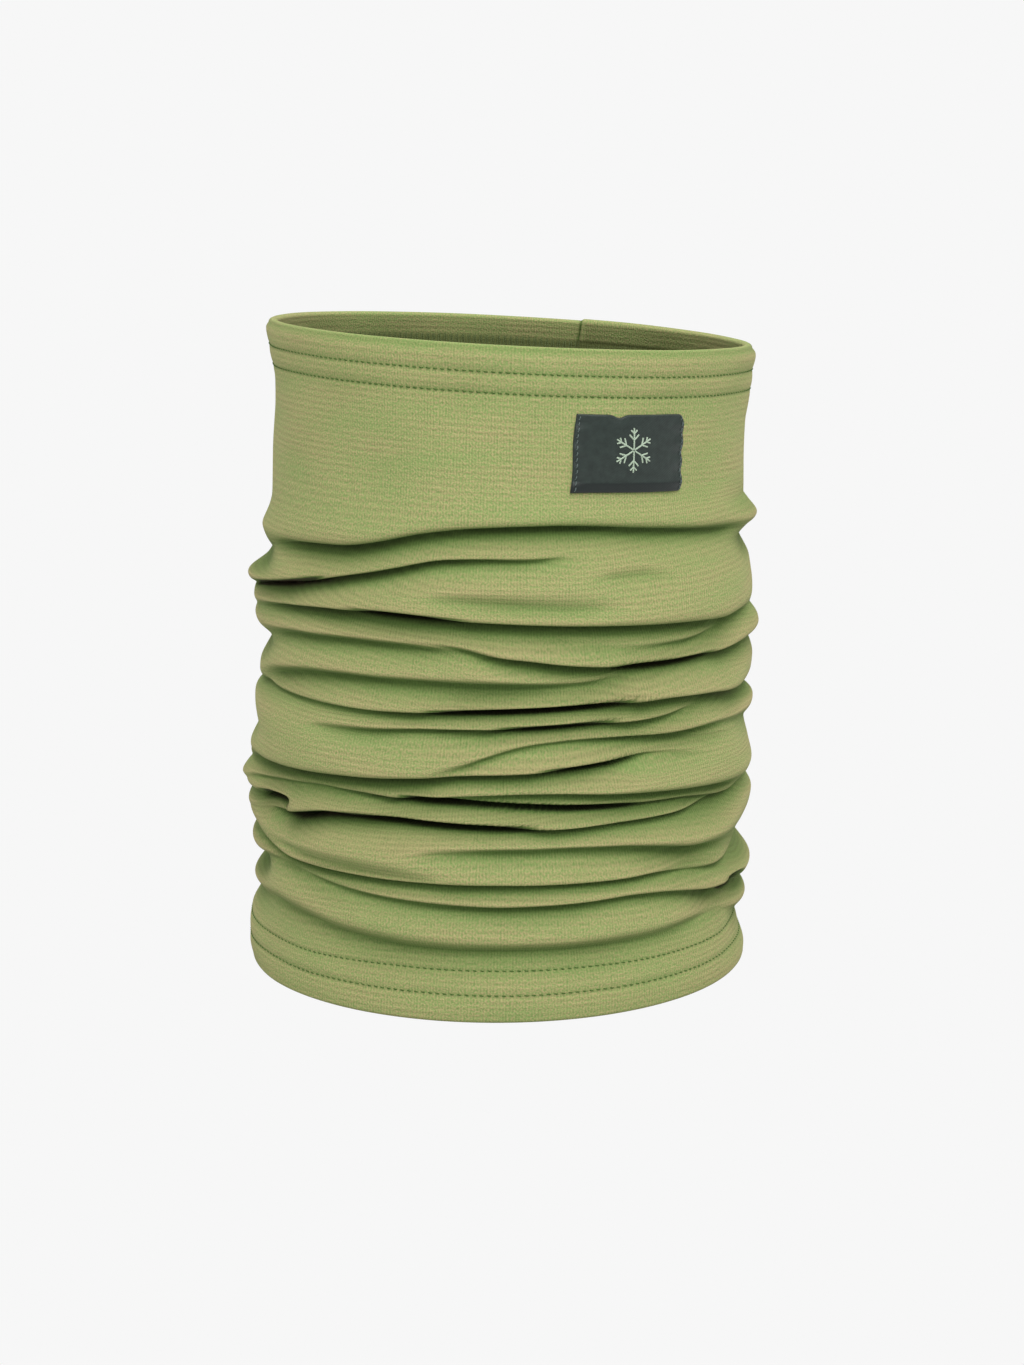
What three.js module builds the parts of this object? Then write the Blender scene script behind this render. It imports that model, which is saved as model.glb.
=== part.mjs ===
// Neck gaiter: a tube of jersey with a coverstitched hem at each end and one overlocked seam, standing
// on its lower hem with its middle slid down into gathers. Millimetres, +Z up. The front is the -Y side,
// and azimuth is counted from the front, positive towards +X.
import * as THREE from "three";

// Tube
const TUBE_HEIGHT = 215; // gathered, lower edge to the middle of the rim
const HALF_WIDTH_TOP = 79.3; // outer face at the foot of the upper band
const HALF_WIDTH_FOOT = 86.3; // outer face at the lower edge
const DEPTH_SHARE = 0.96; // front-to-back size over side-to-side size
const LEAN = 4; // how far the rim stands to the +X side of the lower edge
const RIM_DROP = 8; // how much lower the rim is at its +X side than at its -X side
const JERSEY = 0.9; // cloth thickness
const CLEARANCE = 0.3; // between neighbouring pieces

// Upper and lower bands, the stretches of cloth that stay smooth
const UPPER_BAND_HEIGHT = 55;
const LOWER_BAND_HEIGHT = 23;
const RIM_FLARE = 1.9; // how far the rim stands out past the band below it
const BAND_TUCK = 4; // height over which a band turns in to the crease at its gathered end
const SLOPE_RISE = 11; // height over which the rim's slope builds up from the band's foot

// Hems, each turned in once and sewn by a twin-needle coverstitch
const HEM_DEPTH = 17; // edge to the raw edge of the turned-in cloth
const EDGE_TO_NEEDLE_ROW = 8.6; // edge to the nearer row of stitches
const NEEDLE_GAUGE = 6.4; // between the two rows
const EDGE_ROLL = 2.4; // height of the doubled fold at the very edge
const FOLD_ROUNDING = 0.3; // share of the doubled fold that is rounded off on each face of the rim
const NEEDLE_THREAD = 0.5;
const COVER_THREAD = 0.4;
const COVER_OVERHANG = 0.6; // how far the cover thread runs past each needle row

// Gathers between the bands
const ROLL_COUNT = 10;
const ROLL_PROUD = 2.6; // ridge of a roll past the tube's mean face
const CREASE_DEEP = 2.4; // crease between rolls inside the tube's mean face
const ROLL_CROWN = 0.42; // height of the ridge as a share of the roll
const SHOULDER_HEIGHT = 0.55; // height of the shoulder as a share of the way from ridge to upper crease
const SHOULDER_PROUD = 0.5; // how far the shoulder stands out as a share of the ridge

// Overlocked seam on the inside
const SEAM_AZIMUTH = 160;
const SEAM_WIDTH = 6;
const SEAM_THICK = 1.4;

// Woven label, its two lines of edge stitching and the motif worked on it
const LABEL_WIDTH = 40.5;
const LABEL_HEIGHT = 24.5;
const LABEL_THICK = 0.7;
const LABEL_AZIMUTH = 29;
const LABEL_BELOW_RIM = 19.5; // rim to the label's upper edge
const LABEL_STITCH_INSET = 1.6;
const LABEL_THREAD = 0.4;
const MOTIF_WIDTH = 15;
const MOTIF_THICK = 0.35;

const RING_STEPS = 36;
const LABEL_STEPS = 8;
const MOTIF_STEPS = 4;
const SEAM_STEPS = 2;
const degrees = THREE.MathUtils.degToRad;
const mix = THREE.MathUtils.lerp;

const upperFoot = TUBE_HEIGHT - UPPER_BAND_HEIGHT;
const rollPitch = (upperFoot - LOWER_BAND_HEIGHT) / ROLL_COUNT;
const slopeFull = upperFoot + SLOPE_RISE;
const upperNeedleRows = [
  TUBE_HEIGHT - EDGE_TO_NEEDLE_ROW,
  TUBE_HEIGHT - EDGE_TO_NEEDLE_ROW - NEEDLE_GAUGE,
];
const lowerNeedleRows = [EDGE_TO_NEEDLE_ROW, EDGE_TO_NEEDLE_ROW + NEEDLE_GAUGE];
const flareFoot = TUBE_HEIGHT - HEM_DEPTH;
const lowerTop = LOWER_BAND_HEIGHT - CLEARANCE / 2;
const bandFoot = upperFoot + CLEARANCE / 2;

const jersey = new THREE.MeshStandardMaterial({ color: 0xa2a86e, roughness: 0.9, metalness: 0 });
const sewingThread = new THREE.MeshStandardMaterial({ color: 0x5f6f3c, roughness: 0.6, metalness: 0 });
const overlockThread = new THREE.MeshStandardMaterial({ color: 0x8f9a5c, roughness: 0.7, metalness: 0 });
const labelTape = new THREE.MeshStandardMaterial({ color: 0x4f5853, roughness: 0.7, metalness: 0 });
const labelThread = new THREE.MeshStandardMaterial({ color: 0x2f3a38, roughness: 0.6, metalness: 0 });
const motifThread = new THREE.MeshStandardMaterial({ color: 0x9fb09a, roughness: 0.5, metalness: 0 });

// Outer face of the smooth tube at a height: half-width before the depth share is applied.
function faceRadius(z) {
  if (z < upperFoot) return mix(HALF_WIDTH_FOOT, HALF_WIDTH_TOP, z / upperFoot);
  const flare = THREE.MathUtils.clamp((z - flareFoot) / HEM_DEPTH, 0, 1);
  return HALF_WIDTH_TOP + RIM_FLARE * flare;
}

// Outer face at the bottom of a crease.
function creaseRadius(z) {
  return faceRadius(z) - CREASE_DEEP;
}

// Bends an upright piece to the tube: a little narrower front to back, leaning, with a sloping rim.
function settle(geometry) {
  const place = geometry.getAttribute("position");
  for (let i = 0; i < place.count; i += 1) {
    const x = place.getX(i);
    const z = place.getZ(i);
    const slope = THREE.MathUtils.clamp((z - upperFoot) / (slopeFull - upperFoot), 0, 1);
    place.setX(i, x + LEAN * (z / TUBE_HEIGHT - 0.5));
    place.setY(i, place.getY(i) * DEPTH_SHARE);
    place.setZ(i, z - (slope * RIM_DROP * x) / (2 * HALF_WIDTH_TOP));
  }
  return geometry;
}

const gaiter = new THREE.Group();

function addPiece(name, geometry, material) {
  geometry.deleteAttribute("normal");
  geometry.deleteAttribute("uv");
  const piece = new THREE.Mesh(settle(geometry), material);
  piece.name = name;
  gaiter.add(piece);
}

// A ring round the tube from a closed outline of [radius, height] points.
function addRing(name, outline, material) {
  const points = [...outline, outline[0]].map(([r, z]) => new THREE.Vector2(r, z));
  const ring = new THREE.LatheGeometry(points, RING_STEPS);
  ring.rotateX(degrees(90));
  addPiece(name, ring, material);
}

// A plate that follows the tube's face between two azimuths: outer and inner radius, low and high edge.
function curvedPlate(inner, outer, low, high, azimuth, width, steps) {
  const span = width / outer;
  const arc = [];
  for (let i = 0; i <= steps; i += 1) {
    arc.push(degrees(azimuth) + span * (i / steps - 0.5));
  }
  const outline = new THREE.Shape();
  const at = (r, a) => [r * Math.sin(a), -r * Math.cos(a)];
  outline.moveTo(...at(outer, arc[0]));
  arc.slice(1).forEach((a) => outline.lineTo(...at(outer, a)));
  [...arc].reverse().forEach((a) => outline.lineTo(...at(inner, a)));
  const plate = new THREE.ExtrudeGeometry(outline, { depth: high - low, bevelEnabled: false });
  plate.translate(0, 0, low);
  return plate;
}

// Lower band: one layer of cloth, doubled at the edge it stands on and turned in under the lowest roll.
const doubled = 2 * JERSEY + CLEARANCE;
const lowerTuck = lowerTop - BAND_TUCK;
addRing(
  "lower_band",
  [
    [faceRadius(0) - doubled, 0],
    [faceRadius(0), 0],
    [faceRadius(EDGE_ROLL), EDGE_ROLL],
    [faceRadius(lowerTuck), lowerTuck],
    [creaseRadius(lowerTop), lowerTop],
    [creaseRadius(lowerTop) - JERSEY, lowerTop],
    [faceRadius(lowerTuck) - JERSEY, lowerTuck],
    [faceRadius(EDGE_ROLL) - JERSEY, EDGE_ROLL],
    [faceRadius(EDGE_ROLL) - doubled, EDGE_ROLL],
  ],
  jersey,
);

// Upper band: the same, with the doubled fold at the rim.
const rimFold = TUBE_HEIGHT - EDGE_ROLL;
const upperTuck = bandFoot + BAND_TUCK;
addRing(
  "upper_band",
  [
    [creaseRadius(bandFoot) - JERSEY, bandFoot],
    [creaseRadius(bandFoot), bandFoot],
    [faceRadius(upperTuck), upperTuck],
    [faceRadius(slopeFull), slopeFull],
    [faceRadius(flareFoot), flareFoot],
    [faceRadius(rimFold), rimFold],
    [faceRadius(rimFold) - FOLD_ROUNDING * doubled, TUBE_HEIGHT],
    [faceRadius(rimFold) - (1 - FOLD_ROUNDING) * doubled, TUBE_HEIGHT],
    [faceRadius(rimFold) - doubled, rimFold],
    [faceRadius(rimFold) - JERSEY, rimFold],
    [faceRadius(flareFoot) - JERSEY, flareFoot],
    [faceRadius(slopeFull) - JERSEY, slopeFull],
    [faceRadius(upperTuck) - JERSEY, upperTuck],
  ],
  jersey,
);

// Turned-in cloth of each hem, lying against the band from the fold to its raw edge.
function addFacing(name, foldEnd, rawEdge) {
  const low = Math.min(foldEnd, rawEdge);
  const high = Math.max(foldEnd, rawEdge);
  const outer = (z) => faceRadius(z) - JERSEY - CLEARANCE;
  addRing(
    name,
    [
      [outer(low) - JERSEY, low],
      [outer(low), low],
      [outer(high), high],
      [outer(high) - JERSEY, high],
    ],
    jersey,
  );
}
addFacing("lower_hem_facing", EDGE_ROLL + CLEARANCE, HEM_DEPTH);
addFacing("upper_hem_facing", rimFold - CLEARANCE, flareFoot);

// Needle threads on the outside of each hem, and the cover thread that joins them on the inside.
function addNeedleRow(name, z) {
  const inner = faceRadius(z) + CLEARANCE;
  const half = NEEDLE_THREAD / 2;
  addRing(
    name,
    [
      [inner, z - half],
      [inner + NEEDLE_THREAD, z - half],
      [inner + NEEDLE_THREAD, z + half],
      [inner, z + half],
    ],
    sewingThread,
  );
}
function addCoverThread(name, rows) {
  const low = Math.min(...rows) - COVER_OVERHANG;
  const high = Math.max(...rows) + COVER_OVERHANG;
  const outer = (z) => faceRadius(z) - 2 * (JERSEY + CLEARANCE);
  addRing(
    name,
    [
      [outer(low) - COVER_THREAD, low],
      [outer(low), low],
      [outer(high), high],
      [outer(high) - COVER_THREAD, high],
    ],
    sewingThread,
  );
}
[
  ["upper_hem", upperNeedleRows],
  ["lower_hem", lowerNeedleRows],
].forEach(([hem, rows]) => {
  addNeedleRow(hem + "_needle_thread_edge", rows[0]);
  addNeedleRow(hem + "_needle_thread_inner", rows[1]);
  addCoverThread(hem + "_cover_thread", rows);
});

// Gathers: each roll of folded cloth bulges out between the creases below and above it.
for (let i = 0; i < ROLL_COUNT; i += 1) {
  const low = LOWER_BAND_HEIGHT + i * rollPitch + CLEARANCE / 2;
  const high = LOWER_BAND_HEIGHT + (i + 1) * rollPitch - CLEARANCE / 2;
  const crown = mix(low, high, ROLL_CROWN);
  const shoulder = mix(crown, high, SHOULDER_HEIGHT);
  addRing(
    "gather_roll_" + String(i + 1).padStart(2, "0"),
    [
      [creaseRadius(low) - JERSEY, low],
      [creaseRadius(low), low],
      [faceRadius(crown) + ROLL_PROUD, crown],
      [faceRadius(shoulder) + SHOULDER_PROUD * ROLL_PROUD, shoulder],
      [creaseRadius(high), high],
      [creaseRadius(high) - JERSEY, high],
    ],
    jersey,
  );
}

// Seam: the overlocked edges stand inside the creases, from one hem's raw edge to the other's, and
// narrow with the tube.
const seamLow = HEM_DEPTH + CLEARANCE;
const seamHigh = flareFoot - CLEARANCE;
const seamOuter = HALF_WIDTH_FOOT - CREASE_DEEP - JERSEY - CLEARANCE;
const seamTaper = (HALF_WIDTH_FOOT - HALF_WIDTH_TOP) / upperFoot / seamOuter;
const seam = curvedPlate(
  seamOuter - SEAM_THICK,
  seamOuter,
  seamLow,
  seamHigh,
  SEAM_AZIMUTH,
  SEAM_WIDTH,
  SEAM_STEPS,
);
const seamPlace = seam.getAttribute("position");
for (let i = 0; i < seamPlace.count; i += 1) {
  const inwards = 1 - seamTaper * seamPlace.getZ(i);
  seamPlace.setX(i, seamPlace.getX(i) * inwards);
  seamPlace.setY(i, seamPlace.getY(i) * inwards);
}
addPiece("back_seam_overlock", seam, overlockThread);

// Label, laid on the upper band, with a line of stitching down each short side and a worked motif.
const labelInner = HALF_WIDTH_TOP + CLEARANCE;
const labelOuter = labelInner + LABEL_THICK;
const labelTop = TUBE_HEIGHT - LABEL_BELOW_RIM;
const labelFoot = labelTop - LABEL_HEIGHT;
addPiece(
  "label",
  curvedPlate(labelInner, labelOuter, labelFoot, labelTop, LABEL_AZIMUTH, LABEL_WIDTH, LABEL_STEPS),
  labelTape,
);
const stitchInner = labelOuter + CLEARANCE;
[
  ["left", -1],
  ["right", 1],
].forEach(([side, sign]) => {
  const off = (sign * (LABEL_WIDTH / 2 - LABEL_STITCH_INSET)) / labelOuter;
  addPiece(
    "label_stitching_" + side,
    curvedPlate(
      stitchInner,
      stitchInner + LABEL_THREAD,
      labelFoot + LABEL_STITCH_INSET,
      labelTop - LABEL_STITCH_INSET,
      LABEL_AZIMUTH + THREE.MathUtils.radToDeg(off),
      LABEL_THREAD,
      1,
    ),
    labelThread,
  );
});
const labelMiddle = (labelTop + labelFoot) / 2;
addPiece(
  "label_motif",
  curvedPlate(
    stitchInner,
    stitchInner + MOTIF_THICK,
    labelMiddle - MOTIF_WIDTH / 2,
    labelMiddle + MOTIF_WIDTH / 2,
    LABEL_AZIMUTH,
    MOTIF_WIDTH,
    MOTIF_STEPS,
  ),
  motifThread,
);

// The origin lies on the rest face, in the middle of the gaiter's width and depth.
const extent = new THREE.Box3().setFromObject(gaiter);
const middle = extent.getCenter(new THREE.Vector3());
gaiter.position.set(-middle.x, -middle.y, 0);

export default gaiter;
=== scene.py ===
"""Neck gaiter: a jersey tube with coverstitched hems, stood on its lower hem and slid down into gathers.

Lengths in the shape code are in millimetres, azimuths in degrees from the front, positive to the right.
"""

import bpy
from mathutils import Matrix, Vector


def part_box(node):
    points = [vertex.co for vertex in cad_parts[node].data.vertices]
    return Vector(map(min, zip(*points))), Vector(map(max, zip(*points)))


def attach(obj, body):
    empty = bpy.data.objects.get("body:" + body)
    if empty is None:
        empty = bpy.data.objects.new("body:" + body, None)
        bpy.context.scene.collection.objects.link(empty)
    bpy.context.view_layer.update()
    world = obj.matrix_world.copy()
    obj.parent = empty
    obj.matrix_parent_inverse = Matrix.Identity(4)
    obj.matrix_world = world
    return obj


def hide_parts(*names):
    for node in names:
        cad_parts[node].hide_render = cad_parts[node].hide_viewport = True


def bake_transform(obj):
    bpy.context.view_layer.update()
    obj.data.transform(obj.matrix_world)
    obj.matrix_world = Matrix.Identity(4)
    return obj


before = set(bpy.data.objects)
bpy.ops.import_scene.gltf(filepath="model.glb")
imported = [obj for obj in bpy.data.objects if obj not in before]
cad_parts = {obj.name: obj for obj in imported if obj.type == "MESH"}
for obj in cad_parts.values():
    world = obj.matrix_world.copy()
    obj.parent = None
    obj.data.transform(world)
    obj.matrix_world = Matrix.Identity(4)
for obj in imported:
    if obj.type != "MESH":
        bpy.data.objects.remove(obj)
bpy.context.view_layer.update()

import math

import bpy
import mathutils
import numpy as np

MM = 0.001


# ---------------------------------------------------------------- sizes taken from the frame


def box_mm(node):
    low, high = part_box(node)
    return np.array(low) / MM, np.array(high) / MM


def middle(node):
    low, high = box_mm(node)
    return (low + high) / 2


upper_row_edge = middle("upper_hem_needle_thread_edge")
upper_row_inner = middle("upper_hem_needle_thread_inner")
lower_row_edge = middle("lower_hem_needle_thread_edge")
lower_row_inner = middle("lower_hem_needle_thread_inner")
UPPER_ROWS = (upper_row_edge[2], upper_row_inner[2])
LOWER_ROWS = (lower_row_edge[2], lower_row_inner[2])
BAND_FOOT = box_mm("upper_band")[0][2]
RIM_ROUNDED_OFF = 0.9  # how much lower the rolled rim stands than the plain height of the tube
TUBE_HEIGHT = UPPER_ROWS[0] + LOWER_ROWS[0] - RIM_ROUNDED_OFF
HEM_DEPTH = box_mm("lower_hem_facing")[1][2]

# The tube leans a little to the right and is narrower front to back than side to side.
LEAN = (upper_row_edge[0] - lower_row_edge[0]) / (UPPER_ROWS[0] - LOWER_ROWS[0])
AXIS_FOOT = lower_row_edge[0] - LEAN * LOWER_ROWS[0]
hem_low, hem_high = box_mm("lower_hem_facing")
DEPTH_SHARE = (hem_high[1] - hem_low[1]) / (hem_high[0] - hem_low[0])

# The rim slopes down to the right.
row_low, row_high = box_mm("upper_hem_needle_thread_edge")
RIM_SLOPE = (row_high[2] - row_low[2]) / (row_high[0] - row_low[0])
SLOPE_RISE = 11

CLOTH = 0.8  # thickness of the single cloth
HEM_FOLD = 1.9  # thickness of the doubled cloth
RIM_ROLL = 1.1  # how much fuller the cloth is where it rolls over at the rim
RIM_STEP = 0.8  # how much higher the rim stands on one side of the seam
SEAM_AZIMUTH = 160


def axis_x(z):
    return AXIS_FOOT + LEAN * z


# ---------------------------------------------------------------- outlines and creases of the cloth

# Half-width of the smooth cloth at the front and at the back, from the lower edge up.
FRONT_FACE = [
    (0, 86.3), (8, 86.2), (20, 85.6), (35, 86.6), (55, 87.2), (80, 86.4), (105, 86.0), (125, 85.8),
    (142, 84.0), (156, 82.0), (164, 80.2), (172, 79.3), (198, 79.3), (207, 80.4), (215, 80.9),
]
BACK_FACE = [
    (0, 86.3), (10, 86.0), (22, 85.4), (40, 87.0), (60, 86.6), (85, 86.8), (110, 85.4), (132, 85.6),
    (150, 83.0), (162, 80.4), (172, 79.3), (198, 79.3), (207, 80.4), (215, 80.9),
]

# Where the cloth's face stands at the two sides: height, distance from the tube's lower middle. These two
# lists were not chosen by hand. A scratch program measured the outline row by row, and its numbers were
# thinned out and shifted by one formula.
LEFT_SIDE = [
    (1, 85.7), (5, 86.4), (14, 86.3), (18, 85.9), (22, 83.7), (25, 83.3), (28, 85.3), (30, 84.6),
    (33, 81.1), (36, 79.6), (39, 81.6), (42, 85.9), (45, 85.9), (49, 83.3), (53, 86.7), (57, 86.7),
    (60, 85.9), (65, 88.5), (70, 86.4), (73, 84.7), (76, 85.3), (79, 84.2), (84, 82.4), (90, 83.6),
    (95, 83.9), (99, 81.7), (105, 81.2), (110, 78.5), (113, 77.4), (118, 81.9), (121, 83.3), (124, 82.9),
    (129, 84.1), (135, 84.6), (138, 77.9), (142, 76.5), (147, 78.1), (151, 79.3), (156, 76.9), (160, 75.8),
    (175, 75.3), (186, 74.8), (196, 74.8), (203, 75.8), (211, 76.6), (215, 76.4),
]
RIGHT_SIDE = [
    (1, 85.2), (4, 85.3), (8, 84.4), (11, 83.3), (16, 82.9), (19, 84.0), (22, 86.5), (25, 86.0),
    (28, 83.3), (31, 86.0), (34, 87.7), (36, 86.5), (39, 82.3), (42, 81.6), (46, 82.0), (50, 84.0),
    (55, 86.0), (60, 87.1), (63, 86.0), (66, 85.5), (71, 86.9), (76, 85.7), (82, 84.6), (86, 84.6),
    (90, 86.5), (93, 87.1), (96, 83.3), (101, 85.6), (107, 86.5), (113, 86.0), (117, 88.9), (120, 88.7),
    (124, 86.8), (132, 86.3), (140, 85.0), (145, 82.0), (148, 81.6), (152, 87.0), (155, 87.6), (158, 84.5),
    (161, 82.0), (179, 82.0), (190, 82.2), (196, 83.1), (201, 83.6), (206, 84.0), (211, 85.2), (215, 84.6),
]
SIDE_AZIMUTH = 84
SIDE_REACH = 27

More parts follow.
